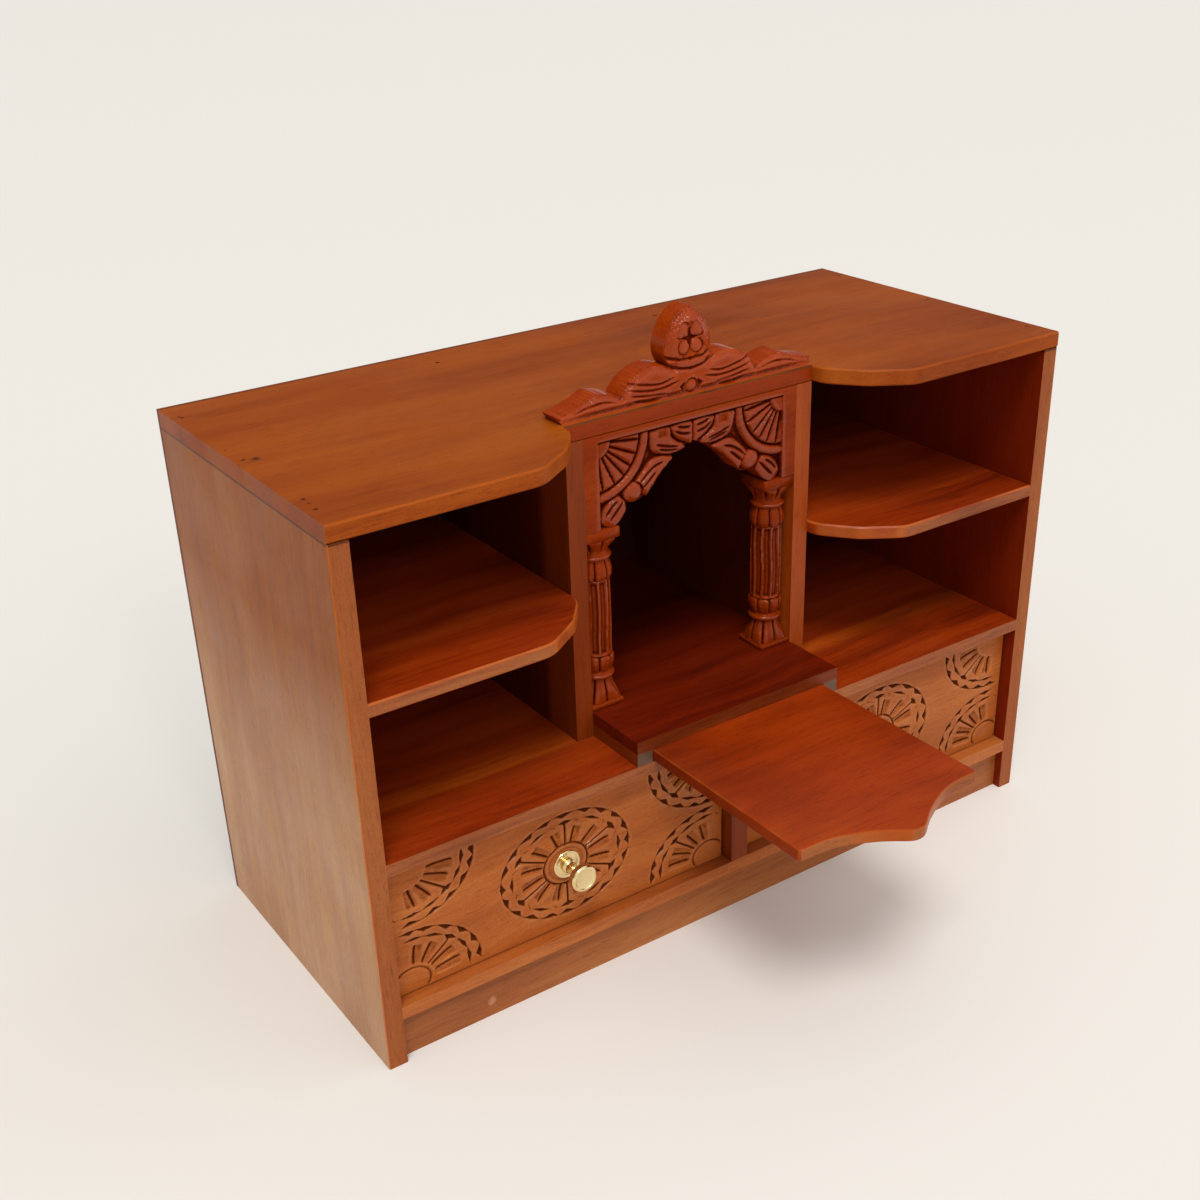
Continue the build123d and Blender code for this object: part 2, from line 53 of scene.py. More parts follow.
class Tree:
    """Adds nodes to a node tree and joins them. A value is a number, a tuple, a node or a node's output."""

    def __init__(self, tree):
        self.tree = tree
        tree.nodes.clear()

    def add(self, kind, inputs=None, **settings):
        node = self.tree.nodes.new(kind)
        for key, value in settings.items():
            setattr(node, key, value)
        for key, value in (inputs or {}).items():
            self.set(node.inputs[key], value)
        return node

    def set(self, socket, value):
        if isinstance(value, bpy.types.NodeSocket):
            self.tree.links.new(value, socket)
        elif isinstance(value, bpy.types.Node):
            self.tree.links.new(value.outputs[0], socket)
        else:
            socket.default_value = value

    def place(self):
        """Places of the rest frame, in metres."""
        return self.add("ShaderNodeTexCoord").outputs["Object"]

    def math(self, operation, a, b=0.0):
        return self.add("ShaderNodeMath", {0: a, 1: b}, operation=operation).outputs[0]

    def vector(self, operation, a, b=(0.0, 0.0, 0.0)):
        return self.add("ShaderNodeVectorMath", {0: a, 1: b}, operation=operation)

    def mix(self, share, a, b, blend="MIX"):
        node = self.add("ShaderNodeMix", data_type="RGBA", blend_type=blend)
        self.set(node.inputs[0], share)
        self.set(node.inputs[6], a)
        self.set(node.inputs[7], b)
        return node.outputs[2]

    def span(self, value, low, high, to_low=0.0, to_high=1.0, smooth=True):
        node = self.add("ShaderNodeMapRange", {0: value, 1: low, 2: high, 3: to_low, 4: to_high})
        node.interpolation_type = "SMOOTHSTEP" if smooth else "LINEAR"
        return node.outputs[0]

    def noise(self, vector, scale=1.0, detail=2.0, rough=0.5):
        return self.add("ShaderNodeTexNoise", {"Vector": vector, "Scale": scale, "Detail": detail,
                                               "Roughness": rough})

    def stretched(self, vector, scale):
        return self.add("ShaderNodeMapping", {"Vector": vector, "Scale": scale})

    def surface(self, inputs):
        """The material's surface, from the inputs of one principled shader."""
        shader = self.add("ShaderNodeBsdfPrincipled", inputs)
        self.add("ShaderNodeOutputMaterial", {"Surface": shader})


def new_material(name):
    material = bpy.data.materials.new(name)
    material.use_nodes = True
    return material, Tree(material.node_tree)


def shade(colour, factors):
    """A colour with each channel scaled, ready for a colour socket."""
    return (colour[0] * factors[0], colour[1] * factors[1], colour[2] * factors[2], 1.0)


# Lacquer colours of the boards, in linear values
TOP = (0.268, 0.048, 0.0024)
TOP_NICHE = (0.195, 0.019, 0.0008)
# Painted shade: the top's eased front edge at the crest's foot, near black
SHADE_UNDER_CREST = (0.050, 0.006, 0.0005)
SIDE = (0.298, 0.076, 0.0062)
UPRIGHT = (0.187, 0.027, 0.0020)
# Painted sheen: the faces that look forward on the shelves, deck, tray and side panels, paler and pinker as a
# reflection of the pale room
SHEEN_ON_FRONTS = (0.270, 0.069, 0.0170)
FRAME_EDGE = (0.205, 0.031, 0.0030)
FRONT = (0.345, 0.086, 0.0160)
SHELF = (0.250, 0.024, 0.0014)
# Painted shade: the niche floor is tinted darker and redder than the shelves for the shade inside the niche;
# its front face, out of that shade, gets the lighter tint below
NICHE_SHADED = (0.140, 0.0095, 0.0005)
NICHE_EDGE = (0.200, 0.034, 0.0050)
TRAY = (0.250, 0.025, 0.0009)
CARVED = (0.255, 0.026, 0.0010)
CARVED_DEEP = (0.200, 0.020, 0.0008)
# Painted shade: the inner faces of the side panels, darker and redder for the shade inside the bays
SHADED_WALL = (0.180, 0.014, 0.0010)
TOE = (0.300, 0.088, 0.0220)
RAIL_END = (0.105, 0.052, 0.0300)
INSIDE = (0.160, 0.034, 0.0060)
# Painted shade: the back panel's face inside the niches, near black
SHADED_BACK = (0.034, 0.002, 0.0002)
# Paler orange of the eased edges: lacquer thinned by use, and a painted highlight
RUBBED_AND_HIGHLIT = (0.46, 0.105, 0.012, 1.0)

# Tints of the gloss, and factors on a wood's colour
AMBER, CLEAR = (1.0, 0.50, 0.24, 1.0), (1.0, 1.0, 1.0, 1.0)
MID_GREY = (0.5, 0.5, 0.5)
DARKER, LIGHTER = (0.50, 0.38, 0.30), (1.34, 1.74, 1.95)
PORE, MOTTLE = (0.42, 0.30, 0.30, 1.0), (1.6, 1.7, 1.7, 1.0)
DARK_SPOT, PALE_SCAR = (0.12, 0.1, 0.1, 1.0), (1.7, 2.6, 5.0, 1.0)
# In the cuts: dark-stained hollows with painted shade. On the ridges: a painted highlight
IN_CUT, RIDGE_HIGHLIGHT = (0.16, 0.10, 0.10), (1.35, 1.6, 1.4)
RIDGE_COAT = 0.5

GRAIN_TURN = {"X": (0.0, 0.0, math.pi / 2), "Y": (0.0, 0.0, 0.0), "Z": (math.pi / 2, 0.0, 0.0)}
SEED_SHIFT = (0.137, 0.291, 0.173)
AHEAD, AHEAD_UP = (0.0, -1.0, 0.0), (0.0, -0.7071, 0.7071)


def wood_figure(t, place, grain, seed, figure, streaky):
    """The grain as a colour about mid grey, with the noise that bends it and the noise of its pores."""
    turned = t.add("ShaderNodeMapping", {"Vector": place, "Rotation": GRAIN_TURN[grain],
                                         "Location": [seed * shift for shift in SEED_SHIFT]})
    drift = t.noise(turned, 5.0).outputs["Color"]
    wavy = t.vector("ADD", turned, t.vector("MULTIPLY", drift, (0.03, 0.05, 0.03)))
    bands = t.noise(t.stretched(wavy, (46.0, 2.2, 46.0)), detail=4.0)
    clouds = t.noise(t.stretched(turned, (9.0, 4.0, 9.0)), detail=3.0)
    streaks = t.noise(t.stretched(wavy, (260.0, 9.0, 260.0)))
    pores = t.noise(t.stretched(wavy, (900.0, 60.0, 900.0)), rough=0.6)
    tone = t.math("ADD", t.math("MULTIPLY", bands, 0.42 * streaky),
                  t.math("MULTIPLY", clouds, 1 - 0.62 * streaky))
    tone = t.math("ADD", tone, t.math("MULTIPLY", streaks, 0.20 * streaky))
    spread = t.span(tone, 0.37, 0.63, 0.5 - figure / 2, 0.5 + figure / 2, False)
    ramp = t.add("ShaderNodeValToRGB", {0: spread})
    stops = ramp.color_ramp.elements
    stops[0].position, stops[0].color = 0.0, shade(MID_GREY, DARKER)
    stops[1].position, stops[1].color = 1.0, shade(MID_GREY, LIGHTER)
    stops.new(0.5).color = (*MID_GREY, 1.0)
    return ramp, drift, pores


def face_tints(t, along, normal, tint, sheen, fade, facing):
    """Twice the board's tint, as the figure is about mid grey, and its sheen, both by place and by face."""
    base, shiny = shade(tint, (2, 2, 2)), sheen
    if fade:
        axis, start, end, factors, far_sheen = fade
        share = t.span(along.outputs["XYZ".index(axis)], start, end, smooth=False)
        base = t.mix(share, base, shade(tint, [2 * factor for factor in factors]))
        shiny = t.span(share, 0.0, 1.0, sheen, far_sheen, False)
    for direction, other, *reach in facing:
        share = t.span(t.vector("DOT_PRODUCT", normal, direction).outputs["Value"], 0.80, 0.95)
        if reach:
            nearby = t.math("LESS_THAN", t.math("ABSOLUTE", along.outputs["X"]), reach[0])
            share = t.math("MULTIPLY", share, nearby)
        base = t.mix(share, base, shade(other, (2, 2, 2)))
        if fade:
            shiny = t.span(share, 0.0, 1.0, shiny, sheen, False)
    return base, shiny


def striped(t, colour, along, swayed, axis, where, half, strength, factors, wavy):
    """A stripe across an axis, straight or swaying with the grain."""
    source = swayed if wavy else along
    off = t.math("ABSOLUTE", t.math("SUBTRACT", source.outputs["XYZ".index(axis)], where))
    return t.mix(t.span(off, half * 0.5, half * 1.3, strength, 0.0), colour, (*factors, 1.0), "MULTIPLY")


def spotted(t, colour, place, spot, factors):
    """A rough-edged spot, given as (x, y, z, radius)."""
    *middle, radius = spot
    rough_edge = t.math("MULTIPLY", t.noise(place, 400.0), radius * 0.8)
    far = t.vector("DISTANCE", place, middle).outputs["Value"]
    share = t.span(t.math("ADD", far, rough_edge), radius * 0.7, radius * 1.3, 0.85, 0.0)
    return t.mix(share, colour, factors, "MULTIPLY")


def rub_and_highlight_edges(t, colour, place, normal, worn):
    """Paler orange along the eased edges, where no side is square to an axis: lacquer thinned by use there,
    and a painted highlight of the edges.
    """
    parts = t.add("ShaderNodeSeparateXYZ", {0: t.vector("ABSOLUTE", normal)})
    flat = t.math("MAXIMUM", t.math("MAXIMUM", parts.outputs[0], parts.outputs[1]), parts.outputs[2])
    patchy = t.span(t.noise(place, 28.0, 3.0), 0.34, 0.58, 0.25, 1.0)
    edge = t.span(t.math("SUBTRACT", 1.0, flat), 0.015, 0.10, 0.0, worn)
    return t.mix(t.math("MULTIPLY", edge, patchy), colour, RUBBED_AND_HIGHLIT)


def carved_lacquer(t, colour, tint, sheen, coat, stain_and_shade):
    """Carved wood is dull and dark in the cuts, the more so the deeper and narrower they are: dark-stained
    hollows, and painted shade. The ridges have thick glossy lacquer and a painted highlight.
    """
    depth = t.add("ShaderNodeAttribute", attribute_name="recess").outputs["Fac"]
    ridge = t.add("ShaderNodeAttribute", attribute_name="proud").outputs["Fac"]
    share = t.span(depth, 0.05, 0.95, 0.0, stain_and_shade)
    colour = t.mix(share, colour, shade(tint, IN_CUT))
    colour = t.mix(t.span(ridge, 0.25, 1.0, 0.0, 0.25), colour, shade(tint, RIDGE_HIGHLIGHT))
    gleam = t.math("MAXIMUM", t.span(share, 0.0, 0.8, coat, 0.0, False),
                   t.span(ridge, 0.1, 0.8, 0.0, RIDGE_COAT))
    return colour, t.span(share, 0.0, 0.8, sheen, 0.02, False), gleam


def wood(name, grain, seed, tint, figure=0.5, gloss=0.40, sheen=0.22, coat=0.0, shine=0.2, streaky=1.0,
         marks=(), scars=(), stripes=(), facing=(), fade=None, worn=0.0, stain_and_shade=0.0):
    """Lacquered hardwood whose grain runs along an axis. A seed shifts the figure from board to board.

    Marks are dark spots and scars pale ones, each (x, y, z, radius). Stripes run across an axis, each
    (axis, place, half width, strength, factors, wavy). Facing gives other tints to faces that look along a
    direction: (direction, tint), or only within a distance of the middle: (direction, tint, distance).
    Fade is (axis, from, to, factors, sheen) for a board whose tint changes along it; the fades here paint
    shade and a reflection along boards.
    """
    material, t = new_material(name)
    place = t.place()
    along = t.add("ShaderNodeSeparateXYZ", {0: place})
    normal = t.add("ShaderNodeNewGeometry").outputs["Normal"]
    figured, drift, pores = wood_figure(t, place, grain, seed, figure, streaky)
    base, shiny = face_tints(t, along, normal, tint, sheen, fade, facing)
    colour = t.mix(1.0, figured, base, "MULTIPLY")
    colour = t.mix(t.span(pores, 0.54, 0.70, 0.0, 0.42), colour, PORE, "MULTIPLY")
    colour = t.mix(t.span(t.noise(place, 900.0), 0.35, 0.65, 0.0, 0.22), colour, MOTTLE, "MULTIPLY")

    if stripes:
        bent = t.vector("ADD", place, t.vector("MULTIPLY", drift, (0.02, 0.02, 0.02)))
        swayed = t.add("ShaderNodeSeparateXYZ", {0: bent})
    for stripe in stripes:
        colour = striped(t, colour, along, swayed, *stripe)
    for spot in marks:
        colour = spotted(t, colour, place, spot, DARK_SPOT)
    for spot in scars:
        colour = spotted(t, colour, place, spot, PALE_SCAR)
    if worn:
        colour = rub_and_highlight_edges(t, colour, place, normal, worn)
    gleam = coat
    if stain_and_shade:
        colour, shiny, gleam = carved_lacquer(t, colour, tint, sheen, coat, stain_and_shade)

    rough = t.span(t.noise(place, 16.0, 3.0), 0.3, 0.7, gloss - 0.05, gloss + 0.07)
    bump = t.add("ShaderNodeBump", {"Strength": 0.10, "Distance": 0.0005, "Height": pores})
    skin = t.add("ShaderNodeBump", {"Strength": 0.04, "Distance": 0.0004, "Height": t.noise(place, 240.0),
                                    "Normal": bump})
    t.surface({"Base Color": colour, "Roughness": rough, "Normal": skin, "Specular IOR Level": shiny,
               "Specular Tint": AMBER if stain_and_shade else CLEAR, "Coat Weight": gleam, "Coat Roughness": shine,
               "Coat IOR": 1.5, "Coat Normal": skin})
    return material


def metal(name, rough_span, first, second, patches=None):
    """Metal with a fine haze, its colours mixed by that or by patches (scale, detail, low, high, most)."""
    material, t = new_material(name)
    place = t.place()
    haze = t.noise(place, 700.0)
    rough = t.span(haze, 0.3, 0.7, *rough_span)
    share = haze
    if patches:
        scale, detail, low, high, most = patches
        share = t.span(t.noise(place, scale, detail), low, high, 0.0, most)
    t.surface({"Base Color": t.mix(share, first, second), "Metallic": 1.0, "Roughness": rough})
    return material


def brass():
    """Polished, lacquered brass, a little tarnished in patches."""
    return metal("polished_brass", (0.13, 0.22), (0.86, 0.68, 0.36, 1.0), (0.70, 0.50, 0.22, 1.0),
                 (90.0, 3.0, 0.4, 0.7, 0.35))


def steel():
    """Dull steel of the nails and screws."""
    return metal("dull_steel", (0.35, 0.55), (0.10, 0.06, 0.045, 1.0), (0.18, 0.13, 0.10, 1.0))


def in_scene(name, data):
    obj = bpy.data.objects.new(name, data)
    bpy.context.scene.collection.objects.link(obj)
    return obj


def paint(obj, material):
    obj.data.materials.clear()
    obj.data.materials.append(material)


# Carving: a relief is a grid of depths behind a board's face, cut with a knife's strokes
GRID, FRONT_GRID = 0.5, 0.55
HAND_SPREAD = 0.25


def smooth(points, closed=False, per=6):
    """A smooth curve through places, as rows of (u, v)."""
    given = np.asarray(points, float)
    if len(given) < 3:
        return given
    if closed:
        padded = np.vstack([given[-1:], given, given[:2]])
    else:
        padded = np.vstack([2 * given[:1] - given[1:2], given, 2 * given[-1:] - given[-2:-1]])
    shares = np.linspace(0, 1, per, endpoint=False)[:, None]
    curve = []
    for before, start, end, after in zip(padded, padded[1:], padded[2:], padded[3:]):
        curve.append(0.5 * (2 * start + (end - before) * shares
                            + (2 * before - 5 * start + 4 * end - after) * shares ** 2
                            + (3 * start - before - 3 * end + after) * shares ** 3))
    curve = np.vstack(curve)
    return curve if closed else np.vstack([curve, given[-1:]])


def arc(start, middle, end, steps=16):
    """Places along the circle through three places."""
    (ax, ay), (bx, by), (cx, cy) = start, middle, end
    d = 2 * (ax * (by - cy) + bx * (cy - ay) + cx * (ay - by))
    aa, bb, cc = ax * ax + ay * ay, bx * bx + by * by, cx * cx + cy * cy
    x = (aa * (by - cy) + bb * (cy - ay) + cc * (ay - by)) / d
    y = (aa * (cx - bx) + bb * (ax - cx) + cc * (bx - ax)) / d
    radius = math.hypot(ax - x, ay - y)
    first = math.atan2(ay - y, ax - x)
    turn = (math.atan2(cy - y, cx - x) - first) % (2 * math.pi)
    half = (math.atan2(by - y, bx - x) - first) % (2 * math.pi)
    if half > turn:
        turn -= 2 * math.pi
    return [(x + radius * math.cos(first + turn * i / steps), y + radius * math.sin(first + turn * i / steps))
            for i in range(steps + 1)]


def distance_to(u, v, trail):
    """Each spot's distance from a trail of places, and its share along the trail."""
    runs = np.hypot(*np.diff(trail, axis=0).T)
    starts = np.concatenate([[0.0], np.cumsum(runs)])
    far, share = np.full(u.shape, 1e9), np.zeros(u.shape)
    for a, b, start, run in zip(trail, trail[1:], starts, runs):
        if run < 1e-9:
            continue
        du, dv = (b - a) / run
        along = np.clip((u - a[0]) * du + (v - a[1]) * dv, 0, run)
        off = np.hypot(u - a[0] - along * du, v - a[1] - along * dv)
        closer = off < far
        far[closer] = off[closer]
        share[closer] = ((start + along) / starts[-1])[closer]
    return far, share


def within(u, v, outline):
    """Whether each spot lies inside a closed outline."""
    inside = np.zeros(u.shape, bool)
    for (u0, v0), (u1, v1) in zip(outline, np.roll(outline, -1, axis=0)):
        crosses = (v0 > v) != (v1 > v)
        if v0 != v1:
            inside ^= crosses & (u < (u1 - u0) * (v - v0) / (v1 - v0) + u0)
    return inside


def blur(field, steps):
    """A field averaged over a square of steps each way, twice."""
    count = 2 * steps + 1
    for _ in range(4):
        total = np.cumsum(np.pad(field, ((steps + 1, steps), (0, 0)), mode="edge"), axis=0)
        field = ((total[count:] - total[:-count]) / count).T
    return field


def rolled(share):
    """A quarter-round from 0 to 1."""
    return np.sqrt(1 - (1 - np.clip(share, 0, 1)) ** 2)


class Relief:
    """Depths in millimetres behind a flat face, on a grid of places (u, v) of the face."""

    def __init__(self, low, high, step):
        self.us = np.linspace(low[0], high[0], round((high[0] - low[0]) / step) + 1)
        self.vs = np.linspace(low[1], high[1], round((high[1] - low[1]) / step) + 1)
        self.u, self.v = np.meshgrid(self.us, self.vs)
        self.depth = np.zeros(self.u.shape)
        # How much each spot is darkened in the cuts: dark-stained hollows plus painted shade
        self.dark = np.zeros(self.u.shape)

    def window(self, places, reach):
        """The part of the grid round some places."""
        low, high = np.min(places, axis=0) - reach, np.max(places, axis=0) + reach
        cols = np.searchsorted(self.us, (low[0], high[0]))
        rows = np.searchsorted(self.vs, (low[1], high[1]))
        return np.s_[rows[0]:rows[1], cols[0]:cols[1]]

    def groove(self, points, width, depth, ends=0.3, flare=1.0, hollow=False, dark=0.7):
        """A V cut, or a hollow one, along a curve. It runs out over a share of its length at both ends,
        and is wider by a factor at its far end."""
        trail = smooth(points)
        near = self.window(trail, width * max(flare, 1))
        far, share = distance_to(self.u[near], self.v[near], trail)
        swell = rolled(np.minimum(share, 1 - share) / ends) if ends else 1.0
        half = width / 2 * (1 + (flare - 1) * share) * (1 if hollow else np.maximum(swell, 0.05))
        cut = np.clip(1 - far / half, 0, 1)
        shape = swell * (rolled(cut) if hollow else cut)
        self.depth[near] += depth * shape
        self.dark[near] = np.maximum(self.dark[near], dark * np.clip(shape * 1.6, 0, 1))

    def edge_distance(self, outline):
        """The grid round an outline, with each spot's distance inside it, or 0 outside it."""
        outline = np.asarray(outline, float)
        near = self.window(outline, 1.0)
        u, v = self.u[near], self.v[near]
        far, _ = distance_to(u, v, np.vstack([outline, outline[:1]]))
        return near, np.where(within(u, v, outline), far, 0.0)

    def sink(self, outline, depth, slope):
        """Take the ground inside an outline down, with sloping walls."""
        near, inner = self.edge_distance(outline)
        self.depth[near] = np.maximum(self.depth[near], depth * np.clip(inner / slope, 0, 1))

    def chip(self, outline, depth, slope, dark=0.9):
        """A knife's chip: flat sides that slope down from each edge."""
        near, inner = self.edge_distance(outline)
        self.depth[near] += np.minimum(inner * slope, depth)
        self.dark[near] = np.maximum(self.dark[near], dark * np.clip(inner / 0.45, 0, 1))

    def mound(self, points, edge, top, roll):
        """A rounded form in sunk ground: so deep at its edge, rolling up to its top over a distance."""
        near, inner = self.edge_distance(smooth(points, closed=True))
        form = edge + (top - edge) * rolled(inner / roll)
        self.depth[near] = np.where(inner > 0, form, self.depth[near])
        self.dark[near] = np.where(inner > 0, 0.0, self.dark[near])

    def tool_marks(self, rng, amount):
        """Slight unevenness of hand work, more where the wood is cut."""
        waves = np.zeros(self.u.shape)
        for length in (9.0, 4.0, 2.2):
            turn, shift = rng.uniform(0, math.pi), rng.uniform(0, 6, 2)
            along = self.u * math.cos(turn) + self.v * math.sin(turn)
            across = self.v * math.cos(turn) - self.u * math.sin(turn)
            waves += np.sin(along * 6.28 / length + shift[0]) * np.sin(across * 6.28 / length + shift[1]) / 3
        self.depth += waves * amount * np.clip(self.depth / 1.5, 0, 1)

    def cells_within(self, outline):
        """The grid's cells inside an outline, as four corner numbers each, and the sides round them."""
        centres = np.meshgrid((self.us[:-1] + self.us[1:]) / 2, (self.vs[:-1] + self.vs[1:]) / 2)
        kept = within(*centres, outline)
        number = np.arange(self.u.size).reshape(self.u.shape)
        corners = [number[:-1, :-1], number[:-1, 1:], number[1:, 1:], number[1:, :-1]]
        quads = np.stack([corner[kept] for corner in corners], axis=1)
        sides = [tuple(side) for i in range(4) for side in quads[:, [i, (i + 1) % 4]]]
        shared = set(sides)
        return quads, np.array([side for side in sides if side[::-1] not in shared])

    def finish_fields(self, gleam):
        """How deep in a cut, and how proud, each spot lies against the wood round it."""
        cavity = self.depth - blur(self.depth, 3)
        broad = self.depth - blur(self.depth, 9)
        recess = np.clip(np.maximum(cavity / 0.8 + broad / 2.4, self.dark), 0, 1)
        ridges = -cavity / 0.5 - broad / 1.6
        return recess.ravel(), np.clip(np.maximum(ridges, gleam), 0, 1).ravel()

    def piece(self, name, outline, face, thickness, origin, gleam=0.0):
        """A closed mesh of the carved face inside an outline, with walls and a flat back. The face looks
        along -Y at a depth of the case in millimetres, and the grid's zero is at an origin (x, z). A gleam
        field adds to the ridges, which are glossier and painted paler there as a highlight."""
        outline = np.asarray(outline, float)
        quads, rim = self.cells_within(outline)
        front, edge = np.unique(quads), np.unique(rim)
        place = np.stack([self.u.ravel(), self.v.ravel()], axis=1)
        place[edge] = snapped(place[edge], np.vstack([outline, outline[:1]]))
        both = np.vstack([place[front], place[edge]])
        deep = np.concatenate([self.depth.ravel()[front], np.full(len(edge), thickness)])
        verts = np.stack([both[:, 0] + origin[0], deep + face, both[:, 1] + origin[1]], axis=1) * MM

        front_of = {old: i for i, old in enumerate(front)}
        back_of = {old: len(front) + i for i, old in enumerate(edge)}
        faces = [[front_of[corner] for corner in quad] for quad in quads]
        faces += [[front_of[b], front_of[a], back_of[a], back_of[b]] for a, b in rim]
        loop = closed_loop(rim)
        flat = [Vector((*place[i], 0.0)) for i in loop]
        for a, b, c in tessellate_polygon([flat]):
            if (flat[b] - flat[a]).cross(flat[c] - flat[a]).z >= 0:
                b, c = c, b
            faces.append([back_of[loop[a]], back_of[loop[b]], back_of[loop[c]]])

        fields = {}
        for field, values in zip(("recess", "proud"), self.finish_fields(gleam)):
            values[edge] = 0.0
            fields[field] = np.concatenate([values[front], np.zeros(len(edge))])
        return make_piece(name, verts, faces, fields)


def closed_loop(rim):
    """The points of a rim's sides, in order round it."""
    following = {b: a for a, b in rim}
    loop = [rim[0][0]]
    while following[loop[-1]] != loop[0]:
        loop.append(following[loop[-1]])
    return loop


def snapped(places, trail):
    """Places moved onto the nearest spot of a trail."""
    best, spot = np.full(len(places), 1e9), places.copy()
    for a, b in zip(trail, trail[1:]):
        run = np.hypot(*(b - a))
        if run < 1e-9:
            continue
        along = np.clip(((places - a) @ (b - a)) / run, 0, run)
        near = a + along[:, None] * (b - a) / run
        off = np.hypot(*(places - near).T)
        closer = off < best
        best[closer], spot[closer] = off[closer], near[closer]
    return spot


def make_piece(name, verts, faces, fields=None, crease=55.0):
    """A smooth-shaded object, sharp only at hard edges, with values on its vertices."""
    mesh = bpy.data.meshes.new(name)
    mesh.from_pydata([tuple(map(float, vert)) for vert in verts], [],
                     [tuple(map(int, face)) for face in faces])
    mesh.shade_smooth()
    mesh.set_sharp_from_angle(angle=math.radians(crease))
    for field, values in (fields or {}).items():
        attribute = mesh.attributes.new(field, "FLOAT", "POINT")
        attribute.data.foreach_set("value", np.asarray(values, np.float32))
    mesh.validate()
    return in_scene(name, mesh)


def mirrored(points, sign, rng=None):
    """Places on one side of the middle, each moved a little, as no two strokes of a hand are the same."""
    moved = np.asarray(points, float) * (sign, 1)
    return moved if rng is None else moved + rng.uniform(-HAND_SPREAD, HAND_SPREAD, moved.shape)


# Arch panel. Places are (sideways from the middle, up from the spring line), in millimetres.
SPRING = 320.0
NICHE_FRONT = -211.0
ARCH_SIZE = (92.5, 68.0)
ARCH_FAN = (81.5, 62.5)
ARCH_LEAVES = (
    ((17, 38), (22, 40.4), (28.5, 41.6), (36.5, 39.8), (43.5, 33.8), (49, 27.5), (48, 22.5), (44.5, 18.5),
     (40.5, 15.5), (35, 20.5), (29, 27), (22.5, 33)),
    ((57.5, 9), (58, 15), (60.5, 18.8), (64, 21), (71.5, 18.6), (77.5, 12), (79, 4.5), (70, -2.5), (62, 2)),
    ((36.6, 61.2), (36.8, 52), (33.8, 45.2), (26, 41.8), (17.5, 40.8), (7, 42.3), (8.5, 47), (13, 49),
     (18.2, 54), (19.6, 61.2)),
    ((18.6, 61.2), (17.6, 55), (12.4, 49.8), (6.8, 46.6), (0.6, 45.0), (0.4, 61.2)),
)
ARCH_BUD = (51.6, 20.6)
ARCH_VEINS = (
    ((46.5, 25.5), (40.5, 30.6), (33.5, 35.2), (26, 37.2)),
    ((44, 21.5), (38.5, 26), (32.5, 31.5)),
    ((72, 4.5), (66.5, 10), (60, 16.8)),
    ((75.5, 8.5), (70.5, 14), (64.5, 18)),
    ((32.5, 50.5), (22.5, 47.4), (12.5, 45.2)),
    ((16, 56.8), (9, 53.8), (2.5, 52.6)),
    ((30.0, 46.8), (21.5, 44.4), (13.5, 43.2)),
    ((14, 59.6), (8, 57.8), (2.5, 57.2)),
)
ARCH_FIELD, ARCH_BORDER = (80.5, 62.2), (80.3, 62.0)
ARCH_THICK = 18.0
FAN_CUTS = (9, 24, 38, 52, 66, 80)
FAN_HUB, FAN_REACH, FAN_BAND = 12.5, 36.5, 8.5


def arch_outline():
    """The panel's edge, with the cusped opening."""
    half, top = ARCH_SIZE
    right = (arc((0, 47), (7, 43.4), (17.5, 41)) + arc((17, 37.5), (29, 28.5), (40, 16.5))
             + arc((40, 16.5), (48, 12.8), (56, 15))[1:] + arc((56, 15), (61, 5.8), (70, 0))[1:]
             + [(half, 0), (half, top)])
    left = [(-u, v) for u, v in right[:0:-1]]
    return right + left


def ellipse(middle, radii):
    """Twelve places round an ellipse."""
    turns = [math.radians(turn) for turn in range(0, 360, 30)]
    return [(middle[0] + radii[0] * math.cos(turn), middle[1] + radii[1] * math.sin(turn)) for turn in turns]


def carve_fan(relief, sign, rng):
    """A quarter shell: a round hub, fluted rays with rounded ends, and a raised band round them."""
    u, v = (relief.u - sign * ARCH_FAN[0]) * -sign, ARCH_FAN[1] - relief.v
    radius, angle = np.hypot(u, v), np.degrees(np.arctan2(v, u))
    quarter = (u > -1) & (v > -1) & (radius < FAN_REACH + FAN_BAND)
    nearest = np.full(radius.shape, 1e9)
    for cut in FAN_CUTS:
        nearest = np.minimum(nearest, np.abs(angle - cut - rng.uniform(-1.5, 1.5)))
    across = np.radians(nearest) * radius
    rounded = np.minimum(np.clip(across / 3.4, 0, 1), np.clip((FAN_REACH - radius) / 4.5, 0, 1))
    rays = 4.4 - 3.5 * rolled(rounded) + 0.9 * np.clip((FAN_REACH - radius) / FAN_REACH, 0, 1)
    raised = 4.2 - 3.4 * rolled(1 - np.abs(radius - FAN_REACH - 4.2) / 3.6)
    shell = np.where(radius < FAN_REACH, rays, raised)
    knob = 3.6 - 3.0 * rolled((FAN_HUB - radius) / 3.0)
    shell = np.where(radius < FAN_HUB, knob, shell)
    relief.depth = np.where(quarter, shell, relief.depth)


